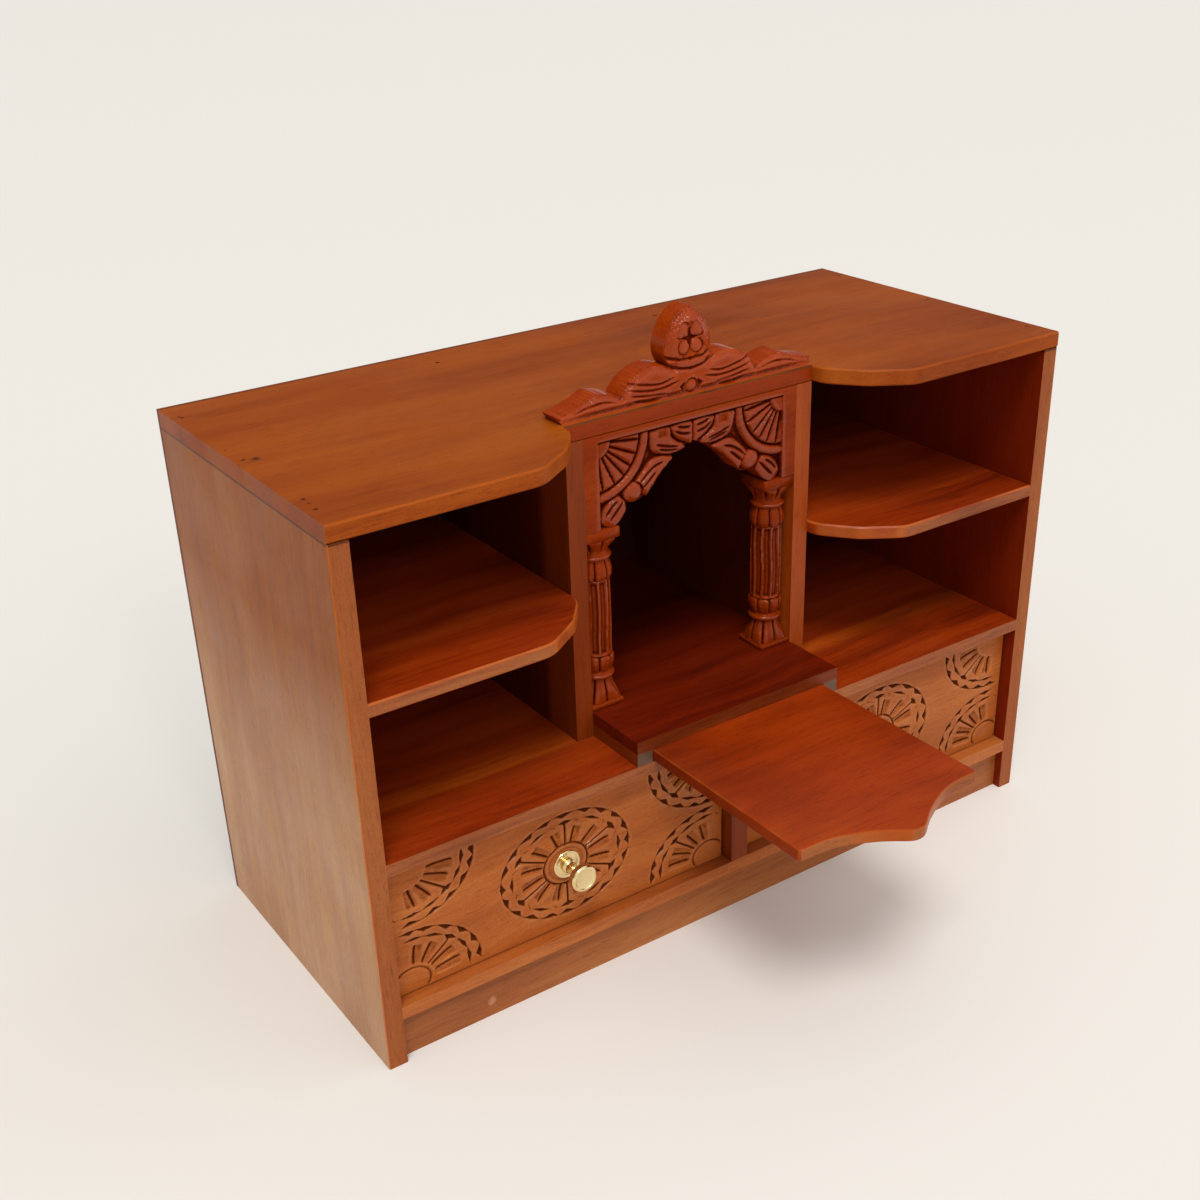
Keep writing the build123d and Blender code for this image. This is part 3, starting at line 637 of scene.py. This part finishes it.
def make_arch_panel():
    rng = np.random.default_rng(11)
    relief = Relief((-ARCH_SIZE[0], 0), ARCH_SIZE, GRID)
    half, top = ARCH_FIELD
    relief.sink([(-half, -4), (half, -4), (half, top), (-half, top)], 4.6, 0.9)
    for sign in (-1, 1):
        carve_fan(relief, sign, rng)
    border = (np.abs(relief.u) > ARCH_BORDER[0]) | (relief.v > ARCH_BORDER[1])
    relief.depth[border] = 0.0
    for sign in (-1, 1):
        for leaf in ARCH_LEAVES:
            relief.mound(mirrored(leaf, sign, rng), 3.9, 0.3, 5.5)
        relief.mound(mirrored(ellipse(ARCH_BUD, (8.2, 7.4)), sign), 4.0, 0.1, 7.0)
        for vein in ARCH_VEINS:
            relief.groove(mirrored(vein, sign, rng), 3.2, 1.9)
        relief.groove(mirrored(((30.5, 57.5), (21.5, 57.0)), sign), 6.0, 1.2, hollow=True, dark=0.15)
    relief.groove([(-80, top), (0, top), (80, top)], 1.8, 1.4, ends=0)
    relief.tool_marks(rng, 0.35)
    return relief.piece("carved_arch", arch_outline(), NICHE_FRONT, ARCH_THICK, (0.0, SPRING))


# Crest. Places are (sideways from the middle, up from the foot), in millimetres.
CREST_FACE = -208.0
CREST_FOOT = 400.0
CREST_THICK = 20.0
CREST_LINES = (
    ((98, 3.2), (84, 7.2), (72, 8.2), (59, 4.8)),
    ((54, 16.5), (40, 13.8), (26, 11.8), (14, 14.4)),
    ((53, 12), (38, 9.2), (24, 8.2), (10, 11)),
    ((51, 7.6), (36, 5), (20, 4)),
    ((49, 3.6), (36, 1.8), (24, 1.6)),
)
CREST_SAUCER = (
    ((20, 27.5), (10, 25), (0, 24.2)),
    ((20.5, 22.6), (10, 19.2), (0, 17.8)),
)
CREST_CHIP = ((4.8, 10.5), (10.5, 6.5), (6.2, 0.8))
BUD_PETAL = ((1.4, 42.4), (6.4, 39.0), (11.0, 39.8), (9.4, 45.4), (5.0, 49.8), (1.6, 48.4))
BUD_FOOT = 24
BUD_FACET = 8.5
BUD_STAR = ((0, 47), (1.9, 40.4), (7.6, 38.6), (2.1, 36.6), (0, 29.5), (-2.1, 36.6), (-7.6, 38.6),
            (-1.9, 40.4))


def crest_outline():
    """The silhouette: two scrolls a side, and the lotus bud in the middle."""
    last = (79, 14.5)
    right = [(0, 0), (106, 0)] + arc((109, 5), (95, 8), last)
    for middle, end in (((68, 12.5), (58, 8.5)), ((46, 20), (30, 24.5)), ((22, 23), (15, 20)),
                        ((19, 27), (19.5, 37)), ((13.5, 50), (0, 60))):
        right += arc(last, middle, end)[1:]
        last = end
    left = [(-u, v) for u, v in right[-2:0:-1]]
    return right + left


def make_crest():
    rng = np.random.default_rng(12)
    outline = crest_outline()
    relief = Relief((-109.5, -0.5), (109.5, 60.5), GRID)
    near, inner = relief.edge_distance(outline)
    edge = np.zeros(relief.u.shape)
    edge[near] = inner
    above = np.clip(relief.v / 3, 0, 1)
    scroll = np.clip(1 - edge / 4.6, 0, 1) * 3.0 * above
    facet = np.clip(1 - edge / BUD_FACET, 0, 1) * 5.2 + 1.9 * rolled((edge - BUD_FACET) / 4.0)
    bud = np.clip((relief.v - BUD_FOOT) / 2, 0, 1)
    relief.depth = scroll * (1 - bud) + facet * bud
    for sign in (-1, 1):
        for line in CREST_LINES:
            relief.groove(mirrored(line, sign, rng), 2.8, 1.5, dark=0.3)
        for line in CREST_SAUCER:
            relief.groove(mirrored(line, sign), 2.8, 2.2, ends=0, dark=0.45)
        relief.chip(mirrored(CREST_CHIP, sign), 3.0, 1.6, dark=0.6)
    relief.mound(ellipse((0.0, 5.9), (5.4, 5.2)), 2.2, 0.0, 4.6)
    for sign in (-1, 1):
        relief.mound(ellipse((sign * 5.6, 32.4), (5.3, 5.0)), 2.9, 0.5, 4.8)
        relief.mound(mirrored(BUD_PETAL, sign), 2.6, 0.9, 4.6)
    relief.chip(BUD_STAR, 3.4, 2.6, dark=1.0)
    relief.tool_marks(rng, 0.4)
    # Painted highlight: the crest's bevels along its edges are painted paler and made glossier
    highlit_facets = np.clip((relief.depth - relief.dark - 0.15) / 0.3, 0, 1) * (edge < 4.6 + 3.9 * bud)
    return relief.piece("carved_crest", outline, CREST_FACE, CREST_THICK, (0.0, CREST_FOOT), highlit_facets * 0.45)


# Drawer fronts. Places are (sideways from the knob, up from it), in millimetres.
FRONT_FACE = -256.0
FRONT_THICK = 14.0
FRONT_MIDDLE = 148.75
FRONT_HEIGHT = 99.25
FRONT_HALF = (139.75, 51.75)
ROSETTE = (53.0, 41.0)
HUB, CORNER_HUB = (17.6, 15.6), (13.5, 11.0)
CORNER_INSET = (13.0, 7.5)
# Angles of a rosette's outer chips, inner chips, scoops and dividers
ALL_ROUND = (range(0, 360, 18), range(0, 360, 30), range(15, 360, 30), range(30, 390, 60))
QUARTER = ((4, 22, 40, 58, 76, 90), (5, 25, 45, 65, 85), (9, 29, 61, 81), (45,))


def carve_rosette(relief, middle, hub, angles, rng):
    """A chip-carved rosette, or the part of it at some angles: two rings of chips, scoops and dividers."""
    outer, inner, scoops, dividers = angles

    def at(*spots):
        """Places from shares of the rosette's reach and angles."""
        return [(middle[0] + share * ROSETTE[0] * math.cos(math.radians(angle)),
                 middle[1] + share * ROSETTE[1] * math.sin(math.radians(angle))) for share, angle in spots]

    def wander():
        return rng.uniform(-1.4, 1.4)

    for angle in outer:
        line = [(1.015 + rng.uniform(-0.006, 0.006), angle + turn) for turn in (-10, -4, 4, 10)]
        relief.groove(at(*line), 1.3, 0.7, ends=0.2, dark=0.45)
    for angle in outer:
        a, b = angle - 8.0 + wander(), angle + 8.0 + wander()
        peak = angle + 2 * wander()
        relief.chip(at((1.02, a), (1.035, angle), (1.02, b), (0.935, peak)), 1.9, 1.9)
    for angle in inner:
        reach, tip = (9.0, 0.775) if angle in dividers else (12.5, 0.815)
        a, b = angle - reach + wander(), angle + reach + wander()
        relief.chip(at((0.855, a), (0.885, angle), (0.855, b), (tip, angle + wander())), 2.0, 1.9)
        relief.groove(at((0.86, a - 1), (0.83, a - 4), (0.80, a - 7)), 1.3, 0.7, ends=0.2, dark=0.4)
    for angle in scoops:
        a = angle + wander()
        relief.groove(at((hub, a), (0.72, a)), 6.6, 1.5, flare=1.4, hollow=True, dark=0.22)
        relief.groove(at((hub, a + 2.0), (0.73, a + 3.2)), 2.1, 1.6, ends=0.2, dark=0.95)
    for angle in dividers:
        a = angle + wander() * 0.6
        relief.groove(at((hub, a), (0.82, a)), 2.1, 2.0, ends=0.08, dark=0.9)


def carve_hub(relief, middle, radii, lip):
    """A smooth hub with a cut line round it and a lip that catches the light."""
    u, v = relief.u - middle[0], relief.v - middle[1]
    share = np.hypot(u / radii[0], v / radii[1])
    away = (share - 1) * min(radii)
    line = np.clip(1 - np.abs(away - 0.6) / 1.5, 0, 1)
    dish = lip * np.clip(1 - np.abs(away + 3.2) / 2.6, 0, 1)
    relief.depth = np.where(away < -0.9, dish, np.maximum(relief.depth, (1.0 + lip) * line))
    relief.dark = np.where(away < -0.9, 0.0, np.maximum(relief.dark, (0.3 + 0.5 * lip) * line))


def make_drawer_front(hand, sign):
    rng = np.random.default_rng(20 + sign)
    relief = Relief((-FRONT_HALF[0], -FRONT_HALF[1]), FRONT_HALF, FRONT_GRID)
    middle = (0.0, 0.0)
    carve_rosette(relief, middle, 0.36, ALL_ROUND, rng)
    carve_hub(relief, middle, HUB, 0.8)
    for side in (-1, 1):
        for level in (-1, 1):
            corner = (side * (FRONT_HALF[0] - CORNER_INSET[0]), level * (FRONT_HALF[1] - CORNER_INSET[1]))
            first = {(-1, -1): 0, (1, -1): 90, (1, 1): 180, (-1, 1): 270}[side, level]
            carve_rosette(relief, corner, 0.33, [[first + turn for turn in turns] for turns in QUARTER], rng)
            if level < 0:
                carve_hub(relief, corner, CORNER_HUB, 0.0)
    relief.tool_marks(rng, 0.25)
    border = np.minimum(FRONT_HALF[0] - np.abs(relief.u), FRONT_HALF[1] - np.abs(relief.v))
    relief.depth = np.maximum(relief.depth * np.clip(border / 1.5, 0, 1), np.clip(0.6 - border, 0, 1) * 0.8)
    return relief.piece(f"{hand}_carved_front", np.array(CORNERS) * FRONT_HALF, FRONT_FACE, FRONT_THICK,
                        (sign * FRONT_MIDDLE, FRONT_HEIGHT))


# Columns, drawn as a radius that changes with the height and the turn
COLUMN_X, COLUMN_Y = 78.5, -197.0
COLUMN_FOOT, COLUMN_TOP = 182.0, 320.0
COLUMN_ENDS = (186.0, 312.0)
COLUMN_LIMIT = 13.6
COLUMN_SIDES, PETALS, FLUTES = 144, 8, 10
FOOT_LEAVES, LOW_PETALS, FLUTED = (185, 203.8), (209, 221.2), (223, 280.6)
HIGH_PETALS, HEAD_LEAVES = (281.6, 296.4), (301, 313)
BLOCK_HALF, BLOCK_EASE = 13.95, 0.7
COLUMN_PROFILE = (
    (186, 13.3), (189, 13.4), (193, 12.9), (198, 11.4), (202, 10.2), (203.6, 10), (204.2, 11.6),
    (205.2, 12.7), (206.6, 12.7), (207.6, 11.6), (208.2, 10.3), (209.5, 10.4), (212, 11.9), (216, 12.9),
    (219.5, 12.9), (221.4, 12.2), (222.2, 11.3), (226, 11.5), (252, 11.7), (278, 11.4), (281, 11.2),
    (281.8, 12.3), (284.5, 13.2), (289, 13.1), (293, 11.9), (296.2, 10.6), (296.9, 11.9), (297.8, 12.9),
    (299.2, 12.9), (300, 11.9), (300.7, 10.6), (303, 10.8), (307, 12.1), (310, 13.4), (312, 13.6))


def folds(angle, turn):
    """0 at the middle of each petal and 1 in the fold between two."""
    return 1 - rolled(np.abs(np.cos(angle * PETALS / 2 + turn)))


def band(height, low, high, soft):
    """1 between two heights and 0 outside them."""
    return np.clip((height - low) / soft, 0, 1) * np.clip((high - height) / soft, 0, 1)


def column_cuts(angle, height, rng):
    """Depth of the carving: petals below and above the flutes, leaves at both ends, and the flutes."""
    low, high, ends = folds(angle, 0.0), folds(angle, 0.5), folds(angle, math.pi / 2)
    cut = 1.9 * band(height, *LOW_PETALS, 1.6) * low
    cut += 1.2 * np.clip((height - 221.4 + 3.2 * low) / 0.8, 0, 1) * band(height, 209, 222.5, 0.6)
    cut += 1.9 * band(height, *HIGH_PETALS, 1.6) * high
    cut += 1.3 * np.clip((HIGH_PETALS[0] + 3.4 * high - height) / 0.8, 0, 1) * band(height, 280.8, 296, 0.6)
    cut += 2.4 * band(height, *HEAD_LEAVES, 2.0) * ends * np.clip((height - 300) / 8, 0.25, 1)
    cut += 2.2 * band(height, *FOOT_LEAVES, 2.0) * ends
    vein = np.clip(1 - np.abs(((angle * 4 / math.pi + 0.5) % 1) - 0.5) / 0.10, 0, 1)
    cut += 0.7 * vein * (band(height, 189, 201, 3) + band(height, 303, 310, 3))
    wander = 0.05 * np.sin(height / 11 + 2 * rng.uniform()) * band(height, 224, 280, 12)
    flute = np.clip((np.abs(np.sin((angle + wander) * FLUTES / 2)) - 0.38) / 0.5, 0, 1)
    return cut + 1.7 * rolled(flute) * band(height, *FLUTED, 2.2)


def make_column(hand, sign):
    rng = np.random.default_rng(30 + sign)
    heights = np.arange(COLUMN_ENDS[0] - GRID, COLUMN_ENDS[1] + GRID, GRID)
    angles = np.linspace(0, 2 * math.pi, COLUMN_SIDES, endpoint=False)
    angle, height = np.meshgrid(angles, heights)
    radius = np.interp(height, *np.transpose(COLUMN_PROFILE))
    widest = np.maximum(np.abs(np.cos(angle)), np.abs(np.sin(angle)))
    corner = np.clip((height - 304) / 7, 0, 1) ** 1.5 + np.clip((197 - height) / 10, 0, 1) ** 1.3
    square = np.minimum(COLUMN_LIMIT / widest, COLUMN_LIMIT * 1.28)
    radius += (square - radius) * np.clip(corner, 0, 1) * 0.85

    cut = column_cuts(angle, height, rng)
    radius = np.maximum(radius - cut, 6.0)
    waves = np.sin(angle * 7 + height / 2.1) * np.sin(height / 1.7 + rng.uniform() * 6)
    radius += 0.10 * waves * np.clip(cut, 0, 1)
    radius *= np.minimum(1, COLUMN_LIMIT / (radius * widest))
    u = sign * COLUMN_X + radius * np.cos(angle)
    v = COLUMN_Y + radius * np.sin(angle)
    verts = list(np.stack([u, v, height], axis=-1).reshape(-1, 3) * MM)
    faces = ring_faces(len(heights), COLUMN_SIDES)

    # Darker in the cuts: dark-stained hollows plus painted shade
    recess = np.clip((cut - blur(cut, 3)) / 0.6, 0, 1).ravel()
    # Painted highlight: the turned rings are painted paler and made glossier
    rings = band(height, 204.4, 207.4, 0.8) + band(height, 297, 299.8, 0.8)
    proud = np.clip(rings - (cut - blur(cut, 4)) / 0.5, 0, 1).ravel()
    for low, high in ((COLUMN_FOOT, COLUMN_ENDS[0]), (COLUMN_ENDS[1], COLUMN_TOP)):
        start = len(verts)
        block_verts, block_faces = eased_block(sign * COLUMN_X, COLUMN_Y, BLOCK_HALF, low, high, BLOCK_EASE)
        verts += block_verts
        faces += [[start + i for i in face] for face in block_faces]
    plain = np.zeros(len(verts) - len(recess))
    return make_piece(f"{hand}_carved_column", verts, faces,
                      {"recess": np.concatenate([recess, plain]), "proud": np.concatenate([proud, plain])})


def eased_block(x, y, half, low, high, ease):
    """A square block with its upright and level edges eased."""
    rings = ((low, half - ease), (low + ease, half), (high - ease, half), (high, half - ease))
    verts = []
    for z, reach in rings:
        cut = reach - ease
        for u, v in ((cut, -reach), (reach, -cut), (reach, cut), (cut, reach), (-cut, reach), (-reach, cut),
                     (-reach, -cut), (-cut, -reach)):
            verts.append(((x + u) * MM, (y + v) * MM, z * MM))
    return verts, ring_faces(len(rings), 8)


def ring_faces(rings, count):
    """Faces that join rings of points, from the lowest up, and close both ends."""
    faces = []
    for start in range(0, (rings - 1) * count, count):
        for side in range(count):
            a, b = start + side, start + (side + 1) % count
            faces.append([a, b, b + count, a + count])
    return faces + [list(range(count))[::-1], list(range((rings - 1) * count, rings * count))]


# Knobs, turned about the line from the drawer front outwards
KNOB_PROFILE = (
    (0, 4.4), (0.5, 5.3), (1.6, 5.5), (2.3, 5), (3, 4.1), (4.5, 3.6), (7.5, 3.5), (9, 3.9), (9.7, 4.8),
    (10.4, 5.3), (11.1, 4.9), (11.7, 4.4), (12.6, 5.2), (14, 7.8), (15.4, 9.4), (17, 10.3), (18.6, 10.5),
    (20.4, 10.3), (21.5, 9.6), (21.95, 8.6), (21.9, 8), (21.3, 7.2), (21, 5), (20.9, 2.5), (20.9, 0))
PLATE_THICK = 2.0
PLATE_PROFILE = (
    (0.02, 11), (0.7, 11), (1.3, 10.6), (1.55, 10), (1.5, 9.2), (1.4, 8.6), (1.6, 8), (1.95, 7.2),
    (PLATE_THICK, 6), (PLATE_THICK, 0))
TURNED_SIDES = 72


def make_turned(name, profile, x, face, z):
    """A closed turned piece whose axis runs along -Y from a face, its profile given as reach and radius."""
    curve = smooth(profile, per=4)
    curve[:, 1] = np.maximum(curve[:, 1], 0)
    turns = [2 * math.pi * side / TURNED_SIDES for side in range(TURNED_SIDES)]
    verts = [(x, face - curve[0][0], z)]
    for reach, radius in curve[:-1]:
        verts += [(x + radius * math.cos(turn), face - reach, z + radius * math.sin(turn)) for turn in turns]
    verts.append((x, face - curve[-1][0], z))
    faces = []
    for side in range(TURNED_SIDES):
        following = (side + 1) % TURNED_SIDES
        faces.append([0, 1 + following, 1 + side])
        for ring in range(len(curve) - 2):
            a = 1 + ring * TURNED_SIDES
            faces.append([a + side, a + following, a + TURNED_SIDES + following, a + TURNED_SIDES + side])
        last = 1 + (len(curve) - 2) * TURNED_SIDES
        faces.append([last + side, last + following, len(verts) - 1])
    return make_piece(name, np.array(verts) * MM, faces, crease=40.0)


# Pull-out tray, whose front sweeps out to a round tab. Places are (from the middle, from the shoulder).
TRAY_HALF, TRAY_FRONT, TRAY_BACK = 79.0, -421.0, -159.5
TRAY_LEVELS = (162.85, 172.15)
TRAY_EASE = 1.3
TRAY_SWEEP = ((0, -26.8), (4, -26.2), (8.5, -23.7), (14, -19.6), (21, -14.8), (28, -10.9), (35.5, -7.1),
              (44, -3.7), (53, -1.4), (63, -0.35), (77.4, 0))


def make_tray():
    """One board with eased edges: rings of its outline from the underside to the top."""
    right = smooth(TRAY_SWEEP)
    corners = np.array([(TRAY_HALF, 1.6), (TRAY_HALF, TRAY_BACK - TRAY_FRONT)])
    right = np.vstack([right, corners])
    outline = np.vstack([right, (right * (-1, 1))[:0:-1]])
    along = np.roll(outline, -1, axis=0) - np.roll(outline, 1, axis=0)
    away = np.stack([along[:, 1], -along[:, 0]], axis=1) / np.hypot(*along.T)[:, None]
    low, high = TRAY_LEVELS
    rings = []
    for share in (0.0, 0.35, 0.7, 1.0):
        rings.append((low + TRAY_EASE * share, TRAY_EASE * (1 - rolled(share))))
    rings += [(low + high - z, inset) for z, inset in rings[::-1]]
    verts = []
    for z, inset in rings:
        ring = outline - away * inset
        verts += [(u * MM, (TRAY_FRONT + v) * MM, z * MM) for u, v in ring]
    return make_piece("swept_tray", verts, ring_faces(len(rings), len(outline)), crease=32.0)


# Putting the carved and turned pieces on the frame

def put(piece, body, replaced, material):
    """A new piece takes the place of a CAD node: it rides on its body and takes its finish."""
    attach(piece, body)
    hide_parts(replaced)
    paint(piece, material)


def add_carvings():
    lacquer = {"figure": 0.6, "gloss": 0.24, "sheen": 0.13, "coat": 0.04, "shine": 0.10}
    duller = {"figure": 0.5, "gloss": 0.42, "sheen": 0.2, "coat": 0.12, "shine": 0.12}
    put(make_arch_panel(), "cabinet", "arch_panel",
        wood("wood_arch", "X", 23, CARVED_DEEP, stain_and_shade=0.92, **lacquer))
    put(make_crest(), "cabinet", "crest",
        wood("wood_crest", "X", 24, CARVED, stain_and_shade=0.75, **lacquer))
    put(make_tray(), "tray", "pull_out_tray",
        wood("wood_tray", "X", 22, TRAY, 0.95, sheen=0.14, streaky=0.45, facing=((AHEAD, SHEEN_ON_FRONTS),), worn=0.5))
    for seed, hand, sign in ((31, "left", -1), (41, "right", 1)):
        put(make_column(hand, sign), "cabinet", f"{hand}_column",
            wood(f"wood_{hand}_column", "Z", seed, CARVED_DEEP, stain_and_shade=0.85, **lacquer))
        put(make_drawer_front(hand, sign), f"{hand}_drawer", f"{hand}_drawer_front",
            wood(f"wood_{hand}_front", "X", seed + 1, FRONT, stain_and_shade=0.9, **duller))


def add_knobs():
    bright = brass()
    for hand, x in (("left", -FRONT_MIDDLE), ("right", FRONT_MIDDLE)):
        plate = make_turned(f"{hand}_turned_plate", PLATE_PROFILE, x, FRONT_FACE, FRONT_HEIGHT)
        knob = make_turned(f"{hand}_turned_knob", KNOB_PROFILE, x, FRONT_FACE - PLATE_THICK, FRONT_HEIGHT)
        put(plate, f"{hand}_drawer", f"{hand}_drawer_knob_plate", bright)
        put(knob, f"{hand}_drawer", f"{hand}_drawer_knob", bright)


# Boards of the CAD. Spots on the top are (x, y, radius) in mm from its left front corner, and the other
# values are as wood() takes them.
CASE_HALF, CASE_DEPTH, TOP_LEVEL = 304, 266, 400
TOP_SPOTS = ((8, 45, 2.6), (8, 37, 1.6), (14, 128, 4.5), (5, 155, 1.4), (6, 240, 1.8), (208, 135, 1.2),
             (208, 190, 1.2), (601, 240, 1.8))
NICHE_REACH = 0.1068
TOE_SCAR = (-0.2175, -0.2590, 0.0125, 0.0052)
# Painted shadow: a dark line on the side panels where they meet the top board
JOINT_SHADOW_LINE = ("Z", 0.3874, 0.0011, 0.85, (0.25, 0.2, 0.2), False)
LIT_STRIP = ("Y", -0.196, 0.015, 0.9, (2.4, 2.8, 3.0), False)
DECK_STRIPE = ("Y", -0.191, 0.010, 0.6, (1.6, 2.6, 2.6), True)
# Painted reflection of the pale floor: the side panels turn paler and shinier towards the bottom
SIDE_REFLECTION_FADE = ("Z", 0.305, 0.140, (1.52, 2.55, 10.5), 0.60)
# Painted shade: the partitions turn darker and duller deeper inside the niche
PARTITION_SHADE_FADE = ("Y", -0.181, -0.171, (0.42, 0.30, 0.30), 0.1)
# Painted shade: the niche floor darker towards the back
NICHE_SHADE_FADE = ("Y", -0.250, -0.120, (0.5, 0.45, 0.45), 0.1)
# How strongly the eased edges get that paler orange, part wear and part painted highlight
EDGE_WEAR_AND_HIGHLIGHT = 0.75
EASE = 0.9


def ease(obj):
    """Slightly rounded edges, as sanding and lacquer leave them."""
    bevel = obj.modifiers.new("eased", "BEVEL")
    bevel.width, bevel.segments = EASE * MM, 2
    bevel.limit_method = "ANGLE"
    bevel.angle_limit = math.radians(50)
    bevel.harden_normals = True
    obj.data.shade_smooth()
    obj.data.set_sharp_from_angle(angle=math.radians(40))


def dress(node, grain, seed, tint, figure, eased=True, **finish):
    """Lacquer on one board of the CAD."""
    paint(nodes_in[node], wood(f"wood_{node}", grain, seed, tint, figure, **finish))
    if eased:
        ease(nodes_in[node])


def finish_boards():
    spots = [((x - CASE_HALF) * MM, (y - CASE_DEPTH) * MM, TOP_LEVEL * MM, radius * MM)
             for x, y, radius in TOP_SPOTS]
    dress("top_board", "X", 1, TOP, 0.55, streaky=0.8, marks=spots, worn=0.2, sheen=0.10,
          facing=((AHEAD, TOP_NICHE, NICHE_REACH), (AHEAD_UP, SHADE_UNDER_CREST, NICHE_REACH)))
    dress("back_panel", "X", 4, INSIDE, 0.5, eased=False, gloss=0.55, facing=((AHEAD, SHADED_BACK),))
    dress("base_board", "X", 5, FRONT, 0.6, worn=0.5)
    dress("toe_board", "X", 6, TOE, 0.6, sheen=0.2, scars=(TOE_SCAR,))
    dress("deck", "X", 7, SHELF, 1.0, facing=((AHEAD, SHEEN_ON_FRONTS),), worn=EDGE_WEAR_AND_HIGHLIGHT, stripes=(DECK_STRIPE,))
    dress("drawer_divider", "Z", 8, UPRIGHT, 0.4)
    dress("niche_floor", "X", 21, NICHE_SHADED, 0.8, sheen=0.15, worn=EDGE_WEAR_AND_HIGHLIGHT, fade=NICHE_SHADE_FADE,
          facing=((AHEAD, NICHE_EDGE),))
    for seed, hand, inwards in ((2, "left", 1.0), (3, "right", -1.0)):
        dress(f"{hand}_side_panel", "Z", seed, SIDE, 0.35, sheen=0.12, stripes=(JOINT_SHADOW_LINE,), worn=EDGE_WEAR_AND_HIGHLIGHT,
              facing=((AHEAD, SHEEN_ON_FRONTS), ((inwards, 0.0, 0.0), SHADED_WALL)), fade=SIDE_REFLECTION_FADE)
    for seed, hand, strips in ((9, "left", ()), (15, "right", (LIT_STRIP,))):
        dress(f"{hand}_partition", "Z", seed, UPRIGHT, 0.45, sheen=0.15, worn=0.5, stripes=strips,
              facing=((AHEAD, FRAME_EDGE),), fade=PARTITION_SHADE_FADE)
        dress(f"{hand}_shelf", "X", seed + 1, SHELF, 1.0, worn=EDGE_WEAR_AND_HIGHLIGHT, facing=((AHEAD, SHEEN_ON_FRONTS),))
        dress(f"{hand}_tray_rail", "Y", seed + 2, UPRIGHT, 0.4, facing=((AHEAD, RAIL_END),))
        plain = wood(f"wood_{hand}_drawer_inside", "Y", seed + 5, INSIDE, 0.5, gloss=0.55)
        for part in ("inner_side", "outer_side", "back", "bottom"):
            paint(nodes_in[f"{hand}_drawer_{part}"], plain)

    dull = steel()
    for name in ("left_drawer_knob_screw", "right_drawer_knob_screw", "top_nails", "back_nails"):
        paint(nodes_in[name], dull)


# Stage: a plain pale floor, a soft high sun and a dim even room
FLOOR_HALF = 30.0
PALE_FLOOR, PALE_GROUND = (0.79, 0.765, 0.725, 1.0), (0.86, 0.84, 0.80, 1.0)
LAMPLIGHT = (1.0, 0.985, 0.96)
BRIGHTEST = (0.10, -0.55, 0.83)
# Each sun: name, strength, angle in degrees and the way it shines
SUNS = (("soft_sun", 1.45, 20, (0.32, 0.42, -1.0)), ("low_glint", 0.27, 10, (0.13, 0.83, -0.52)))


def make_floor():
    mesh = bpy.data.meshes.new("floor")
    corners = [(x * FLOOR_HALF, y * FLOOR_HALF, 0) for x, y in CORNERS]
    mesh.from_pydata(corners, [], [(0, 1, 2, 3)])
    floor = in_scene("floor", mesh)
    material, t = new_material("pale_floor")
    t.surface({"Base Color": PALE_FLOOR, "Roughness": 0.7})
    paint(floor, material)


def make_room():
    """Light from the room, strongest from above and in front. Towards the horizon the camera and glossy
    surfaces see an even pale ground instead, which sheds no light."""
    world = bpy.data.worlds.new("room")
    bpy.context.scene.world = world
    world.use_nodes = True
    t = Tree(world.node_tree)
    towards = t.add("ShaderNodeTexCoord").outputs["Generated"]
    high = t.vector("DOT_PRODUCT", towards, BRIGHTEST).outputs["Value"]
    glow = t.span(high, 0.0, 1.0, 0.10, 1.10)
    lit = t.add("ShaderNodeBackground", {"Color": (*LAMPLIGHT, 1.0), "Strength": glow})
    seen = t.add("ShaderNodeBackground", {"Color": PALE_GROUND, "Strength": 1.0})
    path = t.add("ShaderNodeLightPath")
    direct = t.math("MAXIMUM", path.outputs["Is Camera Ray"], path.outputs["Is Transmission Ray"])
    direct = t.math("MAXIMUM", direct, path.outputs["Is Glossy Ray"])
    height = t.add("ShaderNodeSeparateXYZ", {0: towards}).outputs["Z"]
    share = t.math("MULTIPLY", direct, t.span(height, 0.20, 0.05, smooth=False))
    both = t.add("ShaderNodeMixShader", {0: share, 1: lit, 2: seen})
    t.add("ShaderNodeOutputWorld", {"Surface": both})


def make_lights():
    """A wide soft sun for the shadows, and a narrow weak one for glints on the lacquer."""
    for name, energy, angle, way in SUNS:
        sun = bpy.data.lights.new(name, "SUN")
        sun.energy = energy
        sun.angle = math.radians(angle)
        sun.color = LAMPLIGHT
        in_scene(name, sun).rotation_euler = Vector(way).to_track_quat("-Z", "Y").to_euler()


def make_camera():
    """The photograph's camera, fitted to the straight edges of the case."""
    data = bpy.data.cameras.new("photo_camera")
    data.sensor_width, data.lens, data.shift_y = 36.0, 46.353, 0.05
    data.clip_start, data.clip_end = 0.05, 100.0
    camera = in_scene("photo_camera", data)
    camera.location = (-0.62278, -1.02130, 0.72942)
    camera.rotation_euler = [math.radians(angle) for angle in (62.44521, 1.70609, -34.47326)]
    bpy.context.scene.camera = camera


finish_boards()
add_carvings()
add_knobs()
make_floor()
make_room()
make_lights()
make_camera()
bpy.context.scene.view_settings.view_transform = "Standard"
